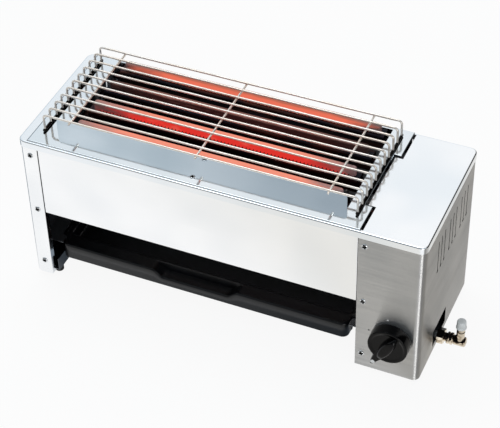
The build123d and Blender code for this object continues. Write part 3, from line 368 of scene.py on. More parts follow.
@dataclass(frozen=True)
class GlowingCeramic(Finish):
    """Cordierite radiant bar, extruded and fired: matt, finely pitted, glowing from the flame."""

    texture: Pattern = Pattern.CERAMIC_PITS
    depth: float = 0.15
    hot: str = "#e2332b"
    pale: str = "#f4937a"
    fired: str = "#2e120d"
    brightness: float = 0.95
    end_brightness: float = 0.02
    glow_share: float = 0.62
    border_swing: float = 0.12
    mottle_swing: float = 0.25

    def value(self, tree: Tree) -> Socket:
        """How cold the bar is: nought over its middle and one at its ends, with a ragged border.

        Args:
            tree: Material's node tree.

        Returns:
            The value, a rise over the distance from the bar's middle, shifted by a noise.
        """
        low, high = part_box("radiant_second")
        middle, half = (low.x + high.x) / 2, (high.x - low.x) / 2
        place = add_node(tree, "TexCoord", "Object")
        along = add_node(tree, "SeparateXYZ", "X", {0: place})
        centred = add_node(tree, "Math", "Value", {"operation": "SUBTRACT", 0: along, 1: middle})
        distance = add_node(tree, "Math", "Value", {"operation": "ABSOLUTE", 0: centred})
        swing = self.border_swing * half
        drift = Pattern.GLOW_BORDER.swing(tree, -swing, swing)
        ragged = add_node(tree, "Math", "Value", {"operation": "ADD", 0: distance, 1: drift})
        return add_node(
            tree, "MapRange", "Result",
            {"Value": ragged, "From Min": half * self.glow_share, "From Max": half}
        )

    def stops(self) -> Stops:
        """Fired brown under the glow, and the bare ceramic at the cold ends."""
        return (0.0, self.fired), (1.0, self.colour)

    def gloss(self, tree: Tree, value: Socket) -> dict[str, Socket]:
        """Nothing, because the bar is evenly matt."""
        return {}

    def glow(self, tree: Tree, value: Socket) -> dict[str, Socket]:
        """Glow that is redder on the upright faces, paler on top and dim towards the ends.

        Args:
            tree: Material's node tree.
            value: How cold the bar is.

        Returns:
            Colour and strength of the emission.
        """
        normal = add_node(tree, "NewGeometry", "Normal")
        upward = add_node(tree, "SeparateXYZ", "Z", {0: normal})
        mottle = Pattern.GLOW_MOTTLE.swing(tree, -self.mottle_swing, self.mottle_swing)
        lift = add_node(tree, "Math", "Value", {"operation": "ADD", 0: upward, 1: mottle})
        colour = add_node(
            tree, "ValToRGB", "Color", {"Fac": lift, "stops": ((0.1, self.hot), (0.85, self.pale))}
        )
        strength = add_node(
            tree, "MapRange", "Result",
            {"Value": value, "To Min": self.brightness, "To Max": self.end_brightness}
        )
        return {"Emission Color": colour, "Emission Strength": strength}


@dataclass(frozen=True)
class RecessedZinc(Finish):
    """Bright plating whose recesses, marked by the mesh's own attribute, are painted dark as shade."""

    # Colour of the painted shade in the cross recess.
    second: str = "#101010"
    metallic: float = 1.0
    texture: Pattern = Pattern.DIE_MARKS
    depth: float = 0.01
    recess_roughness: float = 0.6

    def value(self, tree: Tree) -> Socket:
        """How deep a place lies in the recess."""
        return add_node(tree, "Attribute", "Fac", {"attribute_name": RECESS})

    def stops(self) -> Stops:
        """Bright outside and painted shade in the recess."""
        return (0.15, self.colour), (0.45, self.second)

    def gloss(self, tree: Tree, value: Socket) -> dict[str, Socket]:
        """Source of the roughness, which rises into the recess."""
        rise = {"From Max": 0.4, "To Min": self.roughness, "To Max": self.recess_roughness}
        return {"Roughness": add_node(tree, "MapRange", "Result", {"Value": value, **rise})}


@dataclass(frozen=True)
class ShadePaintedPlating(Finish):
    """Bright plating on turned brass, painted brown-black where it faces up and towards the casing:
    painted shade in place of dark reflections.
    """

    second: str = "#c9b9a2"
    brown: str = "#4a4036"
    painted_dark: str = "#171412"
    metallic: float = 1.0
    texture: Pattern = Pattern.TURNING_MARKS
    depth: float = 0.004
    spread: tuple[float, float] = (0.03, 0.05)
    # Painted shade is darkest on faces turned this way.
    shaded_side: Direction = (-0.5, 0.0, 0.87)
    edge: tuple[float, float] = (0.38, 0.62)

    def value(self, tree: Tree) -> Socket:
        """How much painted shade: more on what faces up and towards the casing, with drifting edges.

        Args:
            tree: Material's node tree.

        Returns:
            Half of the cosine between the normal and the shaded side, plus a noise.
        """
        normal = add_node(tree, "NewGeometry", "Normal")
        facing = add_node(
            tree, "VectorMath", "Value", {"operation": "DOT_PRODUCT", 0: normal, 1: self.shaded_side}
        )
        drift = Pattern.SHADE_EDGE.swing(tree, *self.edge)
        return add_node(
            tree, "Math", "Value", {"operation": "MULTIPLY_ADD", 0: facing, 1: 0.5, 2: drift}
        )

    def stops(self) -> Stops:
        """From the plating's own colour through warm and brown to the black of the painted shade."""
        return (0.42, self.colour), (0.56, self.second), (0.65, self.brown), (0.75, self.painted_dark)


# Bright annealed stainless, cold rolled: nearly a mirror, so the panels take the floor's white.
BRIGHT_SHEET = SheetSteel("bright_annealed_stainless", "#fbfcfd", 0.15, "#f3f5f7")
# Bright stainless of the drip plate: pale and slightly blue, with soft reflections.
PLATE_SHEET = SheetSteel(
    "bright_drip_plate_stainless", "#e6edf2", 0.09, "#dbe4ea", spread=(0.02, 0.02)
)
# Bright stainless of the lid: paler than the plate, with a painted shadow line along the plate's left
# edge.
LID_SHEET = SeamedSheet(
    "bright_lid_stainless", "#f4f7fa", 0.12, "#eaf0f5", spread=(0.03, 0.03), painted_shade="#6f7478"
)
# Stainless brushed level with a belt: grey, and the grain smears highlights up and down. The cut edges
# of its air slits are painted dark, a painted shade inside the slits.
HOUSING_SHEET = PunchedSheet(
    "brushed_stainless_housing", "#d4d3d1", 0.38, "#c7c7c6", texture=Pattern.LEVEL_GRAIN,
    depth=0.008, stretch=1.0
)
# Hot-dip galvanised inner sheet: dull zinc grey.
INNER_SHEET = SheetSteel("galvanised_inner_sheet", "#7b7f83", 0.5, "#5d6165", depth=0.01)
# Pressed stainless burner body, tinted dark by heat.
BURNER_STEEL = HeatedSteel("heat_tinted_burner_steel", "#141118", 0.45)
# Cold-drawn wire, nickel plated: bright, with a warm cast.
GRID_WIRE = PlatedWire("nickel_plated_wire", "#fff8f0", 0.11)
# Foot bars, drawn and plated like the wires, coloured brown-black all over: painted shade for their
# dark reflections and the shadow by the opening.
SHADE_PAINTED_BAR = Finish("bar_painted_dark", "#2a2522", 0.25, "#151210", metallic=1.0, depth=0.01)
# Cordierite bar, extruded and fired, in full flame: pale salmon on top and red on its upright faces.
HOT_CERAMIC = GlowingCeramic("glowing_cordierite", "#a98d8a", 0.85)
# The back bar runs a little cooler: its top is dull red-brown and its face orange.
BACK_CERAMIC = GlowingCeramic(
    "cooler_glowing_cordierite", "#9a807c", 0.85, hot="#f0745a", pale="#b9664f", glow_share=0.7
)
# The third bar, flame low: brown, barely glowing.
DIM_CERAMIC = GlowingCeramic(
    "dim_cordierite", "#43302d", 0.85, hot="#2c1110", pale="#8c6056", fired="#1c0f0d", brightness=0.7
)
# Black vitreous enamel, sprayed and fired on the pressed tray: blue-black with a wet gloss.
TRAY_ENAMEL = Finish(
    "black_vitreous_enamel", "#0c0e12", 0.34, "#07080a", sheen=0.3, texture=Pattern.ENAMEL_RIPPLE,
    depth=0.05
)
# Black phenolic knob, compression moulded: satin with a fine grain.
KNOB_PLASTIC = Finish("black_phenolic", "#060607", 0.14, "#040405", sheen=0.14, depth=0.01)
# White pad print on the pointer and the panel.
WHITE_PRINT = Finish("white_pad_print", "#f4f4f2", 0.4, "#e8e8e6", depth=0.01)
# Dark pad print on the panel.
DARK_PRINT = Finish("grey_pad_print", "#2c2d2f", 0.45, "#242527", depth=0.01)
# Dip-moulded vinyl cap: pale grey, a little soft looking.
CAP_VINYL = Finish("pale_vinyl", "#e9eceb", 0.3, "#d9dddc", depth=0.02)
# Nickel-plated brass, turned: warm bright metal below and brown-black painted shade above, in place of
# dark reflections.
FITTING_NICKEL = ShadePaintedPlating("nickel_plating_painted_shade", "#fff4e2", 0.08)
# Turned and machined brass.
BRASS = Finish("machined_brass", "#c9a45c", 0.3, "#b08c48", metallic=1.0, depth=0.02)
# Drawn steel gas pipe, left plain.
PIPE_STEEL = Finish("plain_steel_pipe", "#9a9c9e", 0.35, "#85888a", metallic=1.0)
# Zinc-plated pressed screws, with painted shade in the cross recess.
SCREW_ZINC = RecessedZinc("zinc_plated_screw", "#d4d6d8", 0.18)
# Moulded black nitrile rubber feet.
FOOT_RUBBER = Finish("black_nitrile_rubber", "#141415", 0.7, "#0e0e0f", depth=0.06)
# Moulded dark grey igniter shell.
IGNITER_SHELL = Finish("grey_nylon_shell", "#2c2d30", 0.5, "#232427")
# Turned white acetal plunger.
PLUNGER_ACETAL = Finish("white_acetal", "#e8e8e4", 0.4, "#dcdcd6")
# White glazed alumina insulator.
INSULATOR_GLAZE = Finish("glazed_alumina", "#f0eee8", 0.15, "#e5e2da", coat=0.4)
# Drawn heat-resisting electrode wire.
ELECTRODE_WIRE = Finish("kanthal_wire", "#77726f", 0.45, "#5f5a57", metallic=1.0)
# Red silicone sleeve, extruded over the ignition lead.
LEAD_SLEEVE = Finish("red_silicone_sleeve", "#a8281b", 0.5, "#8f2016")

SLOT_FINISHES: dict[str, Finish] = {
    "casing_steel": BRIGHT_SHEET, "plate_steel": PLATE_SHEET, "housing_steel": HOUSING_SHEET,
    "inner_steel": INNER_SHEET, "burner_steel": BURNER_STEEL, "radiant_ceramic": HOT_CERAMIC,
    "radiant_dim": DIM_CERAMIC, "tray_enamel": TRAY_ENAMEL, "grid_chrome": GRID_WIRE,
    "pipe_steel": PIPE_STEEL, "valve_brass": BRASS, "fitting_nickel": FITTING_NICKEL,
    "cap_plastic": CAP_VINYL, "knob_plastic": KNOB_PLASTIC, "dot_paint": WHITE_PRINT,
    "igniter_plastic": IGNITER_SHELL, "plunger_plastic": PLUNGER_ACETAL,
    "insulator_ceramic": INSULATOR_GLAZE, "electrode_steel": ELECTRODE_WIRE,
    "lead_rubber": LEAD_SLEEVE, "foot_rubber": FOOT_RUBBER, "screw_steel": SCREW_ZINC
}
NODE_FINISHES: dict[str, Finish] = {"radiant_back": BACK_CERAMIC, "top_frame": LID_SHEET}


def corners_mm(node: str) -> Corners:
    """Lowest and highest corner of a CAD node at rest, in millimetres."""
    low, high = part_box(node)
    return np.array(low) / MM, np.array(high) / MM


def stacked(*coordinates: Any) -> np.ndarray:
    """Points from their coordinates, each of them an array or one number for all points."""
    return np.stack(np.broadcast_arrays(*coordinates), axis=-1)


def arc(x: float, y: float, radius: float, start: float, count: int) -> np.ndarray:
    """Quarter circle: the centre plus the radius times the cosine and the sine of the turn.

    Args:
        x: Centre's first coordinate.
        y: Centre's second coordinate.
        radius: Radius.
        start: Turn in degrees at which it starts.
        count: Number of points.

    Returns:
        The points, going anticlockwise.
    """
    turn = math.radians(start) + np.linspace(0, np.pi / 2, count)
    return stacked(x + radius * np.cos(turn), y + radius * np.sin(turn))


def skin(points: np.ndarray, closed: bool = False) -> Patch:
    """Joins a grid of points into four-sided faces.

    Args:
        points: Array of rows, columns and three coordinates, in millimetres.
        closed: Whether the last column joins the first.

    Returns:
        The points as a list and the faces.
    """
    rows, columns = points.shape[:2]
    number = np.arange(rows * columns).reshape(rows, columns)
    beside = np.roll(number, -1, axis=1)
    if not closed:
        number, beside = number[:, :-1], beside[:, :-1]
    faces = np.stack([number[:-1], beside[:-1], beside[1:], number[1:]], axis=-1)
    return points.reshape(-1, 3), faces.reshape(-1, 4).tolist()


def joined(patches: Iterable[Patch]) -> Patch:
    """Puts several patches into one, counting the points on.

    Args:
        patches: Points and faces of each patch.

    Returns:
        All points and all faces.
    """
    all_points, all_faces, count = [], [], 0
    for points, faces in patches:
        all_points.append(points)
        all_faces.extend((np.array(faces) + count).tolist())
        count += len(points)
    return np.concatenate(all_points), all_faces


def softened(corners: Sequence[Sequence[float]], cut: float, steps: int = 4) -> np.ndarray:
    """Rounds the inner corners of a line.

    Each corner becomes a parabola: (1-t) squared times the point a cut before it, plus 2t(1-t)
    times the corner, plus t squared times the point a cut after it.

    Args:
        corners: Corners of the line, in two or three coordinates.
        cut: Distance from a corner at which its rounding starts, kept under half of a run.
        steps: Runs in each rounding.

    Returns:
        The points of the rounded line.
    """
    line = np.asarray(corners, float)
    corner = line[1:-1]
    back, on = line[:-2] - corner, line[2:] - corner
    back_length = np.linalg.norm(back, axis=1, keepdims=True)
    on_length = np.linalg.norm(on, axis=1, keepdims=True)
    reach = np.minimum(cut, 0.45 * np.minimum(back_length, on_length))
    start = (corner + back / back_length * reach)[:, None]
    end = (corner + on / on_length * reach)[:, None]
    t = np.linspace(0, 1, steps + 1)[None, :, None]
    bends = (1 - t) ** 2 * start + 2 * t * (1 - t) * corner[:, None] + t**2 * end
    return np.concatenate([line[:1], bends.reshape(-1, line.shape[1]), line[-1:]])


def lathe(
    profile: np.ndarray, origin: Sequence[float], axis: Sequence[float], across: Sequence[float],
    sides: int = 48
) -> Patch:
    """Turns a profile about an axis.

    A point is the origin, plus the axis times the distance along it, plus the radius times the
    cosine of the turn along one cross direction and its sine along the other.

    Args:
        profile: Rows of distance along the axis and radius, in millimetres.
        origin: Point on the axis from which distances are counted.
        axis: Unit vector along the axis.
        across: Unit vector at a right angle to the axis.
        sides: Number of sides.

    Returns:
        The turned surface, with its poles still to be merged.
    """
    first = np.asarray(across, float)
    second = np.cross(axis, first)
    turn = np.linspace(0, 2 * np.pi, sides, endpoint=False)[None, :, None]
    ring = np.cos(turn) * first + np.sin(turn) * second
    along, radius = profile[:, 0, None, None], profile[:, 1, None, None]
    return skin(np.asarray(origin, float) + along * np.asarray(axis, float) + radius * ring, True)


def tube(path: np.ndarray, radius: float, up: Sequence[float], sides: int = 12) -> Patch:
    """Carries a circle along a flat path.

    A point is the path's point plus the radius times the cosine of the turn along the path's side
    direction and its sine along the flat path's normal.

    Args:
        path: Points of the path, in millimetres.
        radius: Radius of the circle.
        up: Normal of the plane in which the path lies.
        sides: Number of sides.

    Returns:
        The tube's surface, with its ends still to be merged.
    """
    heading = np.gradient(path, axis=0)
    heading /= np.linalg.norm(heading, axis=1, keepdims=True)
    side = np.cross(heading, up)
    turn = np.linspace(0, 2 * np.pi, sides, endpoint=False)[None, :, None]
    ring = np.cos(turn) * side[:, None] + np.sin(turn) * np.asarray(up, float)
    return skin(path[:, None] + radius * ring, True)


def round_ends(length: float, radius: float, steps: int = 5) -> np.ndarray:
    """Profile of a rod with rounded ends: a quarter circle, a straight run and a quarter circle.

    Args:
        length: Length of the rod.
        radius: Radius of the rod and its ends.
        steps: Points of each quarter circle.

    Returns:
        Rows of distance and radius.
    """
    turn = np.linspace(0, np.pi / 2, steps)
    start = stacked(radius - radius * np.cos(turn), radius * np.sin(turn))
    end = stacked(length - start[::-1, 0], start[::-1, 1])
    return np.concatenate([start, end])


@dataclass(frozen=True)
class Piece:
    """One new mesh: its name, finish, body and the CAD nodes that it stands for."""

    name: str
    finish: Finish
    body: str
    slot: str
    replaces: tuple[str, ...] = ()

    def build(
        self, patch: Patch, outward: bool = True, recess: Optional[np.ndarray] = None
    ) -> bpy.types.Object:
        """Makes the mesh object from a patch in millimetres.

        Args:
            patch: Points and faces.
            outward: Whether the normals of a closed surface are turned outwards.
            recess: Depth mark of each point, kept in the mesh as an attribute.

        Returns:
            The object, at the origin, with its place in its mesh.
        """
        points, faces = patch
        mesh = bpy.data.meshes.new(self.name)
        mesh.from_pydata((points * MM).tolist(), [], faces)
        mesh.materials.append(self.finish.material())
        if recess is not None:
            mesh.attributes.new(RECESS, "FLOAT", "POINT").data.foreach_set("value", recess)
        shell = bmesh.new()
        shell.from_mesh(mesh)
        bmesh.ops.remove_doubles(shell, verts=shell.verts, dist=MERGE_DISTANCE)
        bmesh.ops.dissolve_degenerate(shell, dist=MERGE_DISTANCE / 10, edges=shell.edges)
        if outward:
            bmesh.ops.recalc_face_normals(shell, faces=shell.faces)
        shell.to_mesh(mesh)
        shell.free()
        mesh.polygons.foreach_set("use_smooth", np.ones(len(mesh.polygons), bool))
        mesh.set_sharp_from_angle(angle=SHARP_ANGLE)
        mesh.update()
        made = bpy.data.objects.new(self.name, mesh)
        bpy.context.scene.collection.objects.link(made)
        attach(made, self.body)
        if self.replaces:
            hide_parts(*self.replaces)
        log.info("%s: %d faces on %s", self.name, len(mesh.polygons), self.body)
        return made


@dataclass
class WireGrid:
    """Lift-off grid: long wires with bent-down ends on two foot bars, over three cross rods."""

    wire_count: int = 11
    rod_count: int = 3
    bar_count: int = 2
    wire_radius: float = 1.5
    bend_radius: float = 5.0
    sag: float = 0.25
    bead_length: float = 1.9
    bead_share: float = 0.8

    def rows(self) -> np.ndarray:
        """Depths of the long wires."""
        low, high = corners_mm("grid_wires")
        return np.linspace(low[1] + self.wire_radius, high[1] - self.wire_radius, self.wire_count)

    def long_wires(self) -> None:
        """Each wire is one tube: up from the foot bar, a quarter circle, across and down again.

        Between the rods it sags by the square of the sine of its place.
        """
        low, high = corners_mm("grid_legs")
        top = corners_mm("grid_wires")[1][2] - self.wire_radius
        bar_low, bar_high = corners_mm("grid_bars")
        foot = (bar_low[2] + bar_high[2]) / 2
        left, right = low[0] + self.wire_radius, high[0] - self.wire_radius
        turn = np.linspace(0, np.pi / 2, 7)
        bend_x = left + self.bend_radius - self.bend_radius * np.cos(turn)
        bend_z = top - self.bend_radius + self.bend_radius * np.sin(turn)
        middle = np.linspace(left + self.bend_radius, right - self.bend_radius, 25)[1:-1]
        x = np.concatenate([[left], bend_x, middle, left + right - bend_x[::-1], [right]])
        share = (middle - middle[0]) / (middle[-1] - middle[0])
        dip = top - self.sag * np.sin(self.rod_count * np.pi * share) ** 2
        z = np.concatenate([[foot], bend_z, dip, bend_z[::-1], [foot]])
        wires = joined(tube(stacked(x, y, z), self.wire_radius, (0, 1, 0)) for y in self.rows())
        nodes = ("grid_wires", "grid_legs")
        Piece("grid_long_wires", GRID_WIRE, "grid", "grid_chrome", nodes).build(wires)

    def bars(self, name: str, node: str, count: int, finish: Finish) -> None:
        """Round bars along Y with rounded ends, evenly spread over the node's width.

        Args:
            name: Name of the new piece.
            node: CAD node that it stands for.
            count: How many bars the node has.
            finish: Finish of the bars.
        """
        low, high = corners_mm(node)
        radius = (high[2] - low[2]) / 2
        profile = round_ends(high[1] - low[1], radius)
        patches = [
            lathe(profile, (x, low[1], low[2] + radius), (0, 1, 0), (0, 0, 1), 14)
            for x in np.linspace(low[0] + radius, high[0] - radius, count)
        ]
        Piece(name, finish, "grid", "grid_chrome", (node,)).build(joined(patches))

    def weld_beads(self) -> None:
        """Small flattened beads where the long wires are welded to the cross rods."""
        low, high = corners_mm("grid_rods")
        turn = np.linspace(0, np.pi, 7)
        thickness = self.bead_share * self.wire_radius
        profile = stacked(-self.bead_length * np.cos(turn), thickness * np.sin(turn))
        rods = np.linspace(low[0] + self.wire_radius, high[0] - self.wire_radius, self.rod_count)
        beads = joined(
            lathe(profile, (x, y, high[2]), (1, 0, 0), (0, 0, 1), 10) for x in rods for y in self.rows()
        )
        Piece("grid_weld_beads", GRID_WIRE, "grid", "grid_chrome").build(beads)

    def build(self) -> None:
        """Makes the whole grid."""
        self.long_wires()
        self.bars("grid_cross_rods", "grid_rods", self.rod_count, GRID_WIRE)
        self.bars("grid_foot_bars", "grid_bars", self.bar_count, SHADE_PAINTED_BAR)
        self.weld_beads()


@dataclass
class DripTray:
    """Pressed enamelled tray: basin, side rims, and a front deck with a finger recess."""

    sheet: float = 1.2
    rim: float = 9.0
    deck: float = 20.0
    corner: float = 8.0
    corner_points: int = 13
    step_cut: float = 4.0
    floor_bend: float = 5.0
    rim_bend: float = 1.6
    rim_turn: float = 0.4
    recess_width: float = 128.0
    recess_slope: float = 17.0
    recess_depth: float = 10.0
    recess_offset: float = -9.0
    recess_fade: float = 0.8

    def loops(self) -> tuple[np.ndarray, np.ndarray, np.ndarray, np.ndarray]:
        """Works out the matching loops of the basin's wall and the tray's outline.

        Both go round from the front left corner to the right, the back and the left. The basin's
        corners are quarter circles. The outline steps out by the rim's width behind the deck.

        Returns:
            Wall points, wall normals and outline points, all in plan, and whether a skirt hangs
            from each outline point, as ones and noughts.
        """
        low, high = corners_mm("drip_tray")
        left, right = low[0] + self.rim, high[0] - self.rim
        front, back = low[1], high[1] - self.sheet
        wall_front = front + self.deck + self.sheet
        wall_right, wall_back = right - self.sheet, back - self.sheet
        inner, count = self.corner - self.sheet, self.corner_points
        middle = (left + right) / 2
        side_y = np.linspace(wall_front + inner, wall_back - inner, 20)[1:-1]
        half_wall = np.concatenate([
            arc(wall_right - inner, wall_front + inner, inner, -90, count),
            stacked(wall_right, side_y),
            arc(wall_right - inner, wall_back - inner, inner, 0, count),
        ])
        half_normal = np.concatenate([
            arc(0, 0, 1, -90, count), stacked(np.ones_like(side_y), 0), arc(0, 0, 1, 0, count)
        ])
        rim_front, rim_right = front + self.deck - self.sheet, right + self.rim
        step_corners = [
            (right, front + self.corner), (right, rim_front), (rim_right, rim_front),
            (rim_right, side_y[0])
        ]
        step = softened(step_corners, self.step_cut, 2)[1:-1]
        front_arc = arc(right - self.corner, front + self.corner, self.corner, -90, count - len(step))
        half_outline = np.concatenate([
            front_arc, step, stacked(rim_right, side_y),
            arc(rim_right - self.corner, high[1] - self.corner, self.corner, 0, count),
        ])
        half_skirt = np.zeros(len(half_outline))
        half_skirt[: len(front_arc) + 2] = 1.0

        def mirrored(points: np.ndarray, centre: float) -> np.ndarray:
            """Left half of a loop from its right half, in going-on order."""
            return stacked(2 * centre - points[::-1, 0], points[::-1, 1])

        front_x = np.linspace(left + self.corner, right - self.corner, 181)[1:-1]
        wall = [stacked(front_x, wall_front), half_wall, mirrored(half_wall, middle)]
        normal = [stacked(np.zeros_like(front_x), -1), half_normal, mirrored(half_normal, 0.0)]
        outline = [stacked(front_x, front), half_outline, mirrored(half_outline, middle)]
        skirt = [np.ones(len(front_x)), half_skirt, half_skirt[::-1]]
        return tuple(np.concatenate(parts) for parts in (wall, normal, outline, skirt))

    def lowered(self, plan: np.ndarray, height: np.ndarray) -> np.ndarray:
        """Lowers the deck by the finger recess.

        The depth is the recess depth times 3s squared less 2s cubed, where s rises from nought to
        one over the recess's slopes, and it fades out just before the basin's front wall.

        Args:
            plan: Places of the tray's points in plan.
            height: Their heights.

        Returns:
            The new heights.
        """
        low, high = corners_mm("drip_tray")
        recess_x = (low[0] + high[0]) / 2 + self.recess_offset
        near = (self.recess_width / 2 - np.abs(plan[..., 0] - recess_x)) / self.recess_slope
        step = np.clip(near, 0, 1)
        step = step * step * (3 - 2 * step)
        back_wall = low[1] + self.deck - 2 * self.sheet
        before_wall = np.clip((back_wall - plan[..., 1]) / self.recess_fade, 0, 1)
        above_bend = height > low[2] + self.sheet + self.floor_bend
        on_deck = above_bend & (plan[..., 1] < back_wall)
        depth = np.where(on_deck, self.recess_depth * step * before_wall, 0)
        return np.maximum(height - depth, low[2])

    def build(self) -> None:
        """Carries the tray's section round the loops and thickens the sheet downwards.

        The section goes from the dished floor up a rounded bend and the wall, over the rim's bend,
        across the rim or the deck, and down the front skirt.
        """
        low, high = corners_mm("drip_tray")
        bottom, top = low[2] + self.sheet, high[2]
        wall, normal, outline, drop = self.loops()
        centre = (wall.max(0) + wall.min(0)) / 2
        turn = np.linspace(0, np.pi / 2, 6)[:, None, None]
        sine, rest = np.sin(turn), 1 - np.cos(turn)
        around = np.ones(len(wall))
        bend, lip = self.floor_bend, self.rim_bend

        floor_edge = wall - normal * bend
        floor_share = np.array([0.0, 0.3, 0.65, 0.97])[:, None, None]
        floor = centre + floor_share * (floor_edge - centre)
        rise = floor_edge + normal * bend * sine
        over = wall + normal * lip * rest
        inner = wall + normal * lip
        flat_share = np.array([0.06, 0.1, 0.14, 0.2, 0.35, 0.6, 0.9])[:, None, None]
        flat = inner + flat_share * (outline - inner)

        ahead = np.roll(outline, -1, axis=0) - np.roll(outline, 1, axis=0)
        out = stacked(ahead[:, 1], -ahead[:, 0])
        out /= np.linalg.norm(out, axis=1, keepdims=True)
        edge = outline - out * lip + out * lip * sine
        rim_edge = top - lip * self.rim_turn
        skirt_top = np.where(drop > 0, top - lip - 1, rim_edge - 0.1)
        skirt_bottom = np.where(drop > 0, low[2], rim_edge - 0.3)

        plan = np.concatenate([floor, rise, over, flat, edge, np.stack([outline, outline])])
        height = np.concatenate([
            np.full(floor.shape[:2], bottom),
            (bottom + bend * rest[..., 0]) * around,
            (top - lip + lip * sine[..., 0]) * around,
            np.full(flat.shape[:2], top),
            top - lip * rest[..., 0] * np.maximum(drop, self.rim_turn),
            np.stack([skirt_top, skirt_bottom]),
        ])
        points = stacked(plan[..., 0], plan[..., 1], self.lowered(plan, height))
        piece = Piece("drip_tray_pressing", TRAY_ENAMEL, "tray", "tray_enamel", ("drip_tray",))
        solid = piece.build(skin(points, True), False).modifiers.new("sheet", "SOLIDIFY")
        solid.thickness = self.sheet * MM
        solid.offset = -1.0


@dataclass
class ControlKnob:
    """Push-and-turn knob: a round body with a leaf-shaped grip and a pointer past its rim."""

    radius: float = 27.0
    taper: float = 0.55
    depth: float = 16.5
    back_chamfer: float = 1.5
    rim_land: float = 3.2
    face_edge: float = 5.5
    face_dish: float = 0.9
    pointer_angle: float = 240.0
    grip_half_length: float = 22.5
    grip_half_width: float = 8.6
    grip_height: float = 7.9
    grip_squareness: float = 0.45
    pointer_reach: float = 41.0
    pointer_half_width: float = 8.4
    pointer_step: float = 5.0
    pointer_rise: float = 0.35
    pointer_squareness: float = 0.3
    side_draft: float = 0.16
    tip_radius: float = 4.0
    dot_radius: float = 3.0
    dot_crown: float = 0.38

    def place(self) -> tuple[np.ndarray, np.ndarray, np.ndarray, np.ndarray]:
        """Works out where the knob stands and which way it points.

        Returns:
            Centre of the knob's back, and its pointing, cross and outward directions.
        """
        back = corners_mm("knob")[1][1]
        stem_low, stem_high = corners_mm("valve_stem")
        centre = (stem_low + stem_high) / 2
        turn = math.radians(self.pointer_angle)
        along = np.array([math.cos(turn), 0.0, math.sin(turn)])
        out = np.array([0.0, -1.0, 0.0])
        return np.array([centre[0], back, centre[2]]), along, np.cross(out, along), out

    def body(self) -> Patch:
        """Round body: a turned profile with a rounded rim and a shallow dish in the face.

        Returns:
            Its surface.
        """
        front, dish = self.radius - self.taper, self.depth - self.face_dish
        corners = [
            (0, 0), (0, self.radius - self.back_chamfer), (1.2, self.radius), (self.depth, front),
            (self.depth, front - self.rim_land), (dish, front - self.face_edge), (dish, 0)
        ]
        origin, along, _, out = self.place()
        return lathe(softened(corners, 2.0, 5), origin, out, along, 72)

    def raised(
        self, along: np.ndarray, half_width: np.ndarray, foot: float, top: np.ndarray, power: float
    ) -> Patch:
        """Carries a soft box section along the pointing direction.

        Half-way round the section, the cross place is the half width times the cosine of the turn
        raised to a power below one, with its sign, and the height goes from foot to top by the sine
        raised to the same power, so the section is a box with rounded shoulders.

        Args:
            along: Distances from the axis.
            half_width: Half width at each distance.
            foot: Height of the section's foot.
            top: Height of its top at each distance.
            power: Squareness of the section, smaller is squarer.

        Returns:
            The surface, open underneath.
        """
        turn = np.linspace(0, np.pi, 25)[None, :]
        cosine, lift = np.cos(turn), np.clip(np.sin(turn), 0, 1) ** power
        cross_place = half_width[:, None] * np.sign(cosine) * np.abs(cosine) ** power
        cross_place = cross_place * (1 - self.side_draft * lift)
        height = foot + (top - foot)[:, None] * lift
        origin, direction, cross, out = self.place()
        local = stacked(along[:, None], cross_place, height)
        return skin(origin + local @ np.stack([direction, cross, out]))

    def grip(self) -> Patch:
        """Leaf-shaped grip: its width falls as one minus the share squared, to the power 0.8, and
        its height as one minus the share's sixth power.

        Returns:
            Its surface.
        """
        share = np.sin(np.linspace(-np.pi / 2, np.pi / 2, 41))
        width = self.grip_half_width * (1 - share**2) ** 0.8
        foot = self.depth - self.face_dish - 0.3
        top = self.depth + self.grip_height * (1 - np.abs(share) ** 6) - 0.4 * (1 - share)
        return self.raised(share * self.grip_half_length, width, foot, top, self.grip_squareness)

    def pointer(self) -> Patch:
        """Pointer: straight sides that draw in to a round tip.

        Returns:
            Its surface.
        """
        shoulder = self.pointer_reach - self.tip_radius
        tip = shoulder + self.tip_radius * np.sin(np.linspace(0, np.pi / 2, 9))[1:]
        run = np.concatenate([np.linspace(6, shoulder, 24), tip])
        narrowing = np.clip((run - self.grip_half_length) / (shoulder - self.grip_half_length), 0, 1)
        width = self.pointer_half_width + (self.tip_radius - self.pointer_half_width) * narrowing
        width = width * np.sqrt(1 - np.clip((run - shoulder) / self.tip_radius, 0, 1) ** 2)
        top = np.full_like(run, self.depth + self.pointer_rise)
        return self.raised(run, width, self.pointer_step, top, self.pointer_squareness)

    def dot(self) -> Patch:
        """White dot on the pointer's tip, slightly crowned.

        Returns:
            Its surface.
        """
        rim = self.dot_radius * 0.9
        profile = np.array([(0.0, self.dot_radius), (0.25, rim), (self.dot_crown, 0.0)])
        origin, along, _, out = self.place()
        centre = origin + along * (self.pointer_reach - self.tip_radius - 0.6)
        return lathe(profile, centre + out * (self.depth + 0.3), out, along, 24)

    def build(self) -> None:
        """Makes the knob and its dot."""
        shape = joined([self.body(), self.grip(), self.pointer()])
        Piece("control_knob", KNOB_PLASTIC, "knob", "knob_plastic", ("knob",)).build(shape, False)
        Piece("knob_white_dot", WHITE_PRINT, "knob", "dot_paint", ("knob_dot",)).build(self.dot())


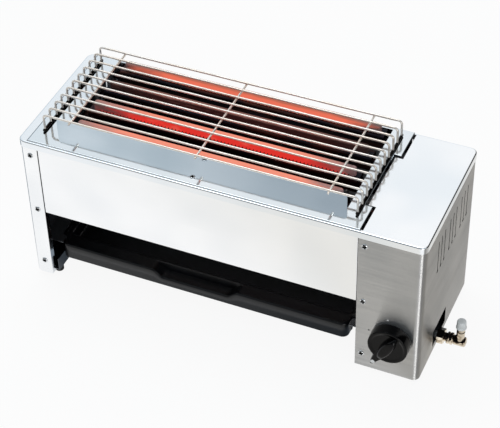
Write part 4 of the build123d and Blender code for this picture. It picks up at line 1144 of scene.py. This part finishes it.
@dataclass
class GasInlet:
    """Union nut, swivelling elbow with a barbed hose end, and its vinyl cap."""

    nut_across_flats: float = 19.0
    nut_face: float = 0.98
    nut_chamfer: float = 2.2
    nut_hole: float = 0.62
    tail: float = 6.0
    ring: float = 8.2
    groove: float = 0.8
    head_radius: float = 6.8
    head_half: float = 8.0
    upright: float = 5.6
    nipple: float = 4.7
    barb: float = 0.6
    barb_starts: tuple[float, float] = (0.8, 3.8)
    bore: float = 3.2
    cap_gap: float = 0.3
    cap_slack: float = 0.12
    cap_crown: float = 2.0

    def nut(self) -> None:
        """Hexagon nut with chamfered ends.

        The radius at a turn is the half width over the cosine of the angle from the nearest flat's
        middle, and never more than a cone that opens from each end.
        """
        low, high = corners_mm("union_nut")
        centre = (low + high) / 2
        length, flat = high[0] - low[0], self.nut_across_flats / 2
        along = np.array([0, 0, 0.25, 0.5, 0.9, 1.3])
        along = np.concatenate([along, [length / 2], length - along[::-1]])[:, None]
        turn = np.linspace(0, 2 * np.pi, 72, endpoint=False)
        hexagon = flat / np.cos(np.mod(turn, np.pi / 3) - np.pi / 6)
        cone = flat * self.nut_face + np.minimum(along, length - along) * self.nut_chamfer
        radius = np.minimum(hexagon, cone)
        radius[0] = radius[-1] = flat * self.nut_hole
        points = stacked(
            low[0] + along, centre[1] + radius * np.sin(turn), centre[2] + radius * np.cos(turn)
        )
        piece = Piece("union_hex_nut", FITTING_NICKEL, "grill", "fitting_nickel", ("union_nut",))
        piece.build(skin(points, True), False)

    def elbow(self) -> None:
        """Turned elbow: a tail with a grooved coupling ring, a thicker head and an upright hose end.

        The upright narrows to the barbed nipple under the cap. Each barb rises steeply and falls
        slowly towards the tip.
        """
        low, high = corners_mm("inlet_elbow")
        centre_y = (low[1] + high[1]) / 2
        centre_z = low[2] + (high[1] - low[1]) / 2
        length, top = high[0] - low[0], high[2] - centre_z
        head = length - 2 * self.head_half
        tail, ring, groove = self.tail, self.ring, self.ring - self.groove
        lying = [(0, 0), (0, tail)]
        # Ring and groove, by the distance from each of their corners to the head.
        for back, radius in (
            (9.6, tail), (9.2, ring), (6.4, ring), (6.0, groove), (5.2, groove), (4.8, ring),
            (1.6, ring), (1.0, tail)
        ):
            lying.append((head - back, radius))
        lying += [
            (head, tail), (head + 0.5, self.head_radius), (length - 1.6, self.head_radius),
            (length, self.head_radius - 1.8), (length, 2.2), (length - 0.6, 1.6), (length - 0.6, 0)
        ]
        body = lathe(
            softened(lying, 0.6, 3), (low[0], centre_y, centre_z), (1, 0, 0), (0, 0, 1), 48
        )
        shoulder = corners_mm("inlet_cap")[0][2] - self.cap_gap - centre_z
        wide, neck, trough = self.upright, self.upright - self.groove, self.nipple - self.barb
        standing = [
            (0, wide), (shoulder - 6, wide), (shoulder - 5.4, neck), (shoulder - 4.4, neck),
            (shoulder - 3.8, wide), (shoulder - 0.5, wide), (shoulder, wide - 0.5), (shoulder, trough),
        ]
        for start in self.barb_starts:
            foot = shoulder + start
            standing += [(foot, trough), (foot + 0.4, self.nipple), (foot + 2.6, trough)]
        standing += [
            (top - 1.0, trough), (top, self.nipple - 1.1), (top, self.bore), (shoulder, self.bore),
            (shoulder, 0)
        ]
        place = (high[0] - self.head_half, centre_y, centre_z)
        stack = lathe(np.array(standing), place, (0, 0, 1), (1, 0, 0), 40)
        piece = Piece(
            "inlet_elbow_turned", FITTING_NICKEL, "inlet_elbow", "fitting_nickel", ("inlet_elbow",)
        )
        piece.build(joined([body, stack]), False)

    def cap(self) -> None:
        """Dip-moulded cap: a rolled rim, a plain wall and a domed top, hollow inside."""
        low, high = corners_mm("inlet_cap")
        centre = (low + high) / 2
        radius, length = (high[0] - low[0]) / 2, high[2] - low[2]
        inner, crown = self.nipple + self.cap_slack, length - self.cap_crown
        outside = [
            (0, inner), (0, radius), (2.6, radius), (3.2, radius - 0.5), (length, radius - 0.8),
            (length, 0)
        ]
        inside = np.array([(crown, 0), (crown, inner), (0, inner)])
        profile = np.concatenate([softened(outside, 2.8, 6), inside])
        shape = lathe(profile, (centre[0], centre[1], low[2]), (0, 0, 1), (1, 0, 0), 40)
        Piece("hose_end_cap", CAP_VINYL, "inlet_cap", "cap_plastic", ("inlet_cap",)).build(shape, False)

    def build(self) -> None:
        """Makes the nut, the elbow and the cap."""
        self.nut()
        self.elbow()
        self.cap()


@dataclass
class Screws:
    """Pan-head screws with a cross recess."""

    head_radius: float = 4.3
    head_height: float = 1.45
    head_seat: float = 1.5
    recess_radius: float = 3.2
    recess_width: float = 1.35
    recess_depth: float = 1.2
    shank_radius: float = 1.7
    shank_point: float = 0.8
    tilt: float = 0.35

    def rings(self) -> tuple[np.ndarray, np.ndarray]:
        """Radius shares and turns of the grid on which a head is built."""
        share = np.array([0, 0.1, 0.2, 0.3, 0.4, 0.5, 0.56, 0.62, 0.68, 0.78, 0.88, 0.95, 1.0])
        return share[:, None], np.linspace(0, 2 * np.pi, 56, endpoint=False)[None, :]

    def recess(self) -> np.ndarray:
        """Works out how deep each point lies in the cross.

        Returns:
            One where the smaller of the two cross distances is well under the recess's half width
            and the larger is well under its reach, falling to nought at their edges.
        """
        share, turn = self.rings()
        radius = self.head_radius * share
        first, second = np.abs(radius * np.cos(turn)), np.abs(radius * np.sin(turn))
        narrow, wide = np.minimum(first, second), np.maximum(first, second)
        arm = np.clip((self.recess_width - narrow) / 0.4, 0, 1)
        return arm * np.clip((self.recess_radius - wide) / 0.5, 0, 1)

    def head(self, centre: np.ndarray, out: np.ndarray, across: np.ndarray, scale: float) -> Patch:
        """One head: its height is the head's height times the square root of one minus the radius
        share to the fourth power, less the recess.

        Args:
            centre: Middle of the head's seat.
            out: Direction in which the head stands out.
            across: Direction of one arm of the cross.
            scale: Size against the head sizes.

        Returns:
            The head's surface.
        """
        share, turn = self.rings()
        radius = self.head_radius * share
        height = self.head_height * np.sqrt(1 - share**4) - self.recess_depth * self.recess()
        local = stacked(radius * np.cos(turn), radius * np.sin(turn), height)
        axes = np.stack([across, np.cross(out, across), out])
        return skin(centre + scale * local @ axes, True)

    def fit(
        self, name: str, node: str, seats: Iterable[Sequence[float]], out: np.ndarray,
        across: np.ndarray, reach: float, scale: float = 1.0
    ) -> None:
        """Makes the screws of one CAD node as one piece.

        Args:
            name: Name of the new piece.
            node: CAD node that it stands for.
            seats: Middle of each head's seat.
            out: Direction in which the heads stand out.
            across: Direction of one arm of the cross.
            reach: Length of the shanks.
            scale: Size of the heads against the head sizes.
        """
        run = reach - self.shank_point
        shank = np.array([(0.0, self.shank_radius), (run, self.shank_radius), (reach, 0.0)])
        patches, marks = [], []
        for seat in seats:
            stem = lathe(shank, seat, -out, across, 16)
            patches += [self.head(np.array(seat), out, across, scale), stem]
            # The recess depth also marks where the screw's finish paints shade.
            marks += [self.recess().ravel(), np.zeros(len(stem[0]))]
        piece = Piece(name, SCREW_ZINC, "grill", "screw_steel", (node,))
        piece.build(joined(patches), False, np.concatenate(marks))

    def row(self, name: str, node: str, out_y: float) -> None:
        """Six screws of one side, where the CAD node has them.

        Args:
            name: Name of the new piece.
            node: CAD node that it stands for.
            out_y: Minus one for the front and one for the back.
        """
        low, high = corners_mm(node)
        edge = self.head_radius
        face = low[1] + self.head_seat if out_y < 0 else high[1] - self.head_seat
        end = high[1] if out_y < 0 else low[1]
        seats = [
            (x, face, z)
            for x in (low[0] + edge, high[0] - edge)
            for z in np.linspace(low[2] + edge, high[2] - edge, 3)
        ]
        across = np.array([math.cos(self.tilt), 0.0, math.sin(self.tilt)])
        self.fit(name, node, seats, np.array([0.0, out_y, 0.0]), across, abs(end - face))

    def plate(self) -> None:
        """The single screw in the plate's front strip."""
        low, high = corners_mm("plate_screw")
        centre = (low + high) / 2
        seat = np.array([centre[0], centre[1], high[2] - self.head_height])
        out, across = np.array([0.0, 0.0, 1.0]), np.array([0.8, 0.6, 0.0])
        scale = (high[0] - low[0]) / 2 / self.head_radius
        self.fit("plate_pan_screw", "plate_screw", [seat], out, across, seat[2] - low[2], scale)

    def build(self) -> None:
        """Makes all visible screws."""
        self.row("front_pan_screws", "front_screws", -1.0)
        self.row("back_pan_screws", "back_screws", 1.0)
        self.plate()


@dataclass
class PanelMarks:
    """Two small printed marks beside the knob that show its stops."""

    radius: float = 1.5
    small_radius: float = 1.2
    thickness: float = 0.12
    off_place: tuple[float, float] = (-7.0, 27.8)
    low_place: tuple[float, float] = (-31.8, 1.4)

    def mark(self, name: str, finish: Finish, place: tuple[float, float], radius: float) -> None:
        """One low round spot of ink on the control panel.

        Args:
            name: Name of the new piece.
            finish: Finish of the ink.
            place: Distance from the knob's axis to the right and up.
            radius: Radius of the spot.
        """
        face = corners_mm("control_housing")[0][1]
        stem_low, stem_high = corners_mm("valve_stem")
        centre = (stem_low + stem_high) / 2
        rim = (self.thickness * 0.7, radius * 0.92)
        profile = np.array([(0.0, radius), rim, (self.thickness, 0.0)])
        origin = (centre[0] + place[0], face, centre[2] + place[1])
        spot = lathe(profile, origin, (0, -1, 0), (1, 0, 0), 20)
        Piece(name, finish, "grill", "dot_paint").build(spot, False)

    def build(self) -> None:
        """Places the marks round the knob's axis."""
        self.mark("panel_mark_off", WHITE_PRINT, self.off_place, self.radius)
        self.mark("panel_mark_low", DARK_PRINT, self.low_place, self.small_radius)


@dataclass
class CarriedNodes:
    """CAD nodes whose shape is right, which get the finish of their slot."""

    def build(self) -> None:
        """Assigns each node's finish to its material slots."""
        for row in frame["record"]["subparts"]:
            node = frame["nodes"][row["node"]]
            finish = NODE_FINISHES.get(row["node"], SLOT_FINISHES[row["material_slot"]])
            if not node.material_slots:
                node.data.materials.append(finish.material())
            for place in node.material_slots:
                place.material = finish.material()
            log.info("%s: %s", row["node"], finish.name)


@dataclass(frozen=True)
class Softbox:
    """One rectangular soft lamp: place and size in metres, and power in watts."""

    name: str
    place: Direction
    size: tuple[float, float]
    power: float

    def build(self, aim: Direction) -> None:
        """Makes the lamp and turns it to face a point.

        Args:
            aim: The point, in metres.
        """
        data = bpy.data.lights.new(self.name, "AREA")
        data.shape = "RECTANGLE"
        data.size, data.size_y = self.size
        data.energy = self.power
        lamp = bpy.data.objects.new(self.name, data)
        bpy.context.scene.collection.objects.link(lamp)
        lamp.location = self.place
        lamp.rotation_mode = "QUATERNION"
        lamp.rotation_quaternion = (Vector(aim) - Vector(self.place)).to_track_quat("-Z", "Y")


@dataclass
class Studio:
    """Pale floor, soft lamps and the camera at the photographed angle."""

    azimuth: float = 24.42
    elevation: float = 41.75
    roll: float = -1.57
    distance: float = 2.212
    lens: float = 119.6
    aim: Direction = (-0.0156, 0.00965, 0.124)
    floor_half: float = 6.0
    paper: str = "#f4f4f4"
    seen_share: float = 0.92
    mirrored_share: float = 0.95
    cards: Stops = (
        (-162.0, "#ffffff"), (-138.0, "#efede8"), (-100.0, "#efede8"), (-80.0, "#ffffff"),
        (-42.0, "#ffffff"), (-24.0, "#84827e"), (30.0, "#bfbcb7"), (72.0, "#e3e1dd"),
        (110.0, "#ffffff"), (142.0, "#ffffff"), (152.0, "#7d8893"), (176.0, "#7d8893"),
        (180.0, "#ffffff")
    )
    overhead: Direction = (0.0, 0.5, 0.87)
    overhead_stops: Stops = (
        (0.08, "#54585d"), (0.22, "#ffffff"), (0.6, "#c2cfda"), (0.77, "#d2e0ea"), (0.9, "#ffffff")
    )
    back_screen: Direction = (0.72, 0.66, 0.2)
    back_stops: Stops = ((0.55, "#ffffff"), (0.8, "#2a2826"))
    front_screen: Direction = (0.3, -0.75, 0.6)
    front_stops: Stops = ((0.75, "#ffffff"), (0.9, "#8d969f"))
    lamps: tuple[Softbox, ...] = (
        Softbox("overhead_softbox", (-0.5, 0.6, 2.4), (1.6, 1.2), 14.0),
        Softbox("side_softbox", (1.32, -1.56, 0.35), (0.8, 0.9), 12.0)
    )

    def camera(self) -> None:
        """Camera on a sphere round the aim point, rolled about its own line of sight."""
        a, e, r = (math.radians(v) for v in (self.azimuth, self.elevation, self.roll))
        ahead = Vector((-math.sin(a) * math.cos(e), math.cos(a) * math.cos(e), -math.sin(e)))
        right = Vector((math.cos(a), math.sin(a), 0.0))
        up = right.cross(ahead)
        rolled_right = right * math.cos(r) + up * math.sin(r)
        rolled_up = up * math.cos(r) - right * math.sin(r)
        turn = Matrix((rolled_right, rolled_up, -ahead)).transposed().to_4x4()
        data = bpy.data.cameras.new("camera")
        data.sensor_width = 36.0
        data.lens = self.lens
        data.clip_start, data.clip_end = 0.05, 50.0
        camera = bpy.data.objects.new("camera", data)
        bpy.context.scene.collection.objects.link(camera)
        camera.matrix_world = Matrix.Translation(Vector(self.aim) - ahead * self.distance) @ turn
        bpy.context.scene.camera = camera

    def backdrop_paper(self) -> bpy.types.Material:
        """Matt paper that is nearly white to the camera and still takes the object's shadow.

        In mirrors it shows as white card with grey card laid out round the control box: the grey
        is a ramp over the turn about the housing's front right corner.

        Returns:
            The material.
        """
        paper = bpy.data.materials.new("white_backdrop_paper")
        paper.use_nodes = True
        tree = paper.node_tree
        shader = tree.nodes["Principled BSDF"]
        shader.inputs["Base Color"].default_value = linear(self.paper)
        shader.inputs["Roughness"].default_value = 0.9
        camera_ray = add_node(tree, "LightPath", "Is Camera Ray")
        seen = add_node(
            tree, "Math", "Value", {"operation": "MULTIPLY", 0: camera_ray, 1: self.seen_share}
        )
        share = add_node(
            tree, "Math", "Value",
            {
                "operation": "MULTIPLY_ADD", 0: camera_ray.node.outputs["Is Glossy Ray"],
                1: self.mirrored_share, 2: seen
            }
        )
        low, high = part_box("control_housing")
        place = add_node(tree, "TexCoord", "Object")
        centred = add_node(
            tree, "Mapping", "Vector", {"Vector": place, "Location": (-high.x, -low.y, 0.0)}
        )
        angle = add_node(tree, "TexGradient", "Fac", {"Vector": centred, "gradient_type": "RADIAL"})
        stops = [(turn / 360 + 0.5, shade) for turn, shade in self.cards]
        cards = add_node(tree, "ValToRGB", "Color", {"Fac": angle, "stops": stops})
        mirrored = add_node(
            tree, "Mix", MIXED, {"data_type": "RGBA", SHARE: camera_ray, UNDER: cards, OVER: WHITE}
        )
        glow = add_node(tree, "Emission", "Emission", {"Color": mirrored, "Strength": 1.0})
        mix = add_node(tree, "MixShader", "Shader", {0: share, 1: shader.outputs["BSDF"], 2: glow})
        tree.links.new(mix, tree.nodes["Material Output"].inputs["Surface"])
        return paper

    def floor(self) -> None:
        """Large pale floor under the object."""
        half = self.floor_half
        mesh = bpy.data.meshes.new("floor")
        corners = [(-half, -half, 0), (half, -half, 0), (half, half, 0), (-half, half, 0)]
        mesh.from_pydata(corners, [], [[0, 1, 2, 3]])
        mesh.materials.append(self.backdrop_paper())
        floor = bpy.data.objects.new("floor", mesh)
        bpy.context.scene.collection.objects.link(floor)

    def world(self) -> None:
        """White to the camera. To the object, a wide soft light overhead that fades to a dim room,
        with a dark screen low at the back right and a grey one at the front.

        Each brightness is a ramp over the cosine between a ray's direction and the middle of the
        light or of a screen.
        """
        world = bpy.data.worlds.new("studio")
        bpy.context.scene.world = world
        world.use_nodes = True
        tree = world.node_tree
        ray = add_node(tree, "TexCoord", "Generated")
        sky = None
        for towards, stops in (
            (self.overhead, self.overhead_stops), (self.back_screen, self.back_stops),
            (self.front_screen, self.front_stops)
        ):
            middle = Vector(towards).normalized()
            cosine = add_node(
                tree, "VectorMath", "Value", {"operation": "DOT_PRODUCT", 0: ray, 1: middle}
            )
            shade = add_node(tree, "ValToRGB", "Color", {"Fac": cosine, "stops": stops})
            product = {
                "data_type": "RGBA", "blend_type": "MULTIPLY", SHARE: 1.0, UNDER: sky, OVER: shade
            }
            sky = add_node(tree, "Mix", MIXED, product) if sky else shade
        camera_ray = add_node(tree, "LightPath", "Is Camera Ray")
        mix = add_node(
            tree, "Mix", MIXED, {"data_type": "RGBA", SHARE: camera_ray, UNDER: sky, OVER: WHITE}
        )
        background = tree.nodes["Background"]
        tree.links.new(mix, background.inputs["Color"])
        background.inputs["Strength"].default_value = 1.0

    def build(self) -> None:
        """Sets the whole studio up."""
        self.camera()
        self.floor()
        self.world()
        for lamp in self.lamps:
            lamp.build(self.aim)
        bpy.context.scene.view_settings.view_transform = "Standard"
        log.info("studio: camera, floor, world and %d lamps", len(self.lamps))


def main() -> None:
    """Builds the grill's pieces in order and sets up the studio."""
    logging.basicConfig(level=logging.INFO, format="%(name)s: %(message)s")
    CarriedNodes().build()
    WireGrid().build()
    DripTray().build()
    ControlKnob().build()
    GasInlet().build()
    Screws().build()
    PanelMarks().build()
    Studio().build()
    bpy.context.view_layer.update()


if __name__ == "__main__":
    main()
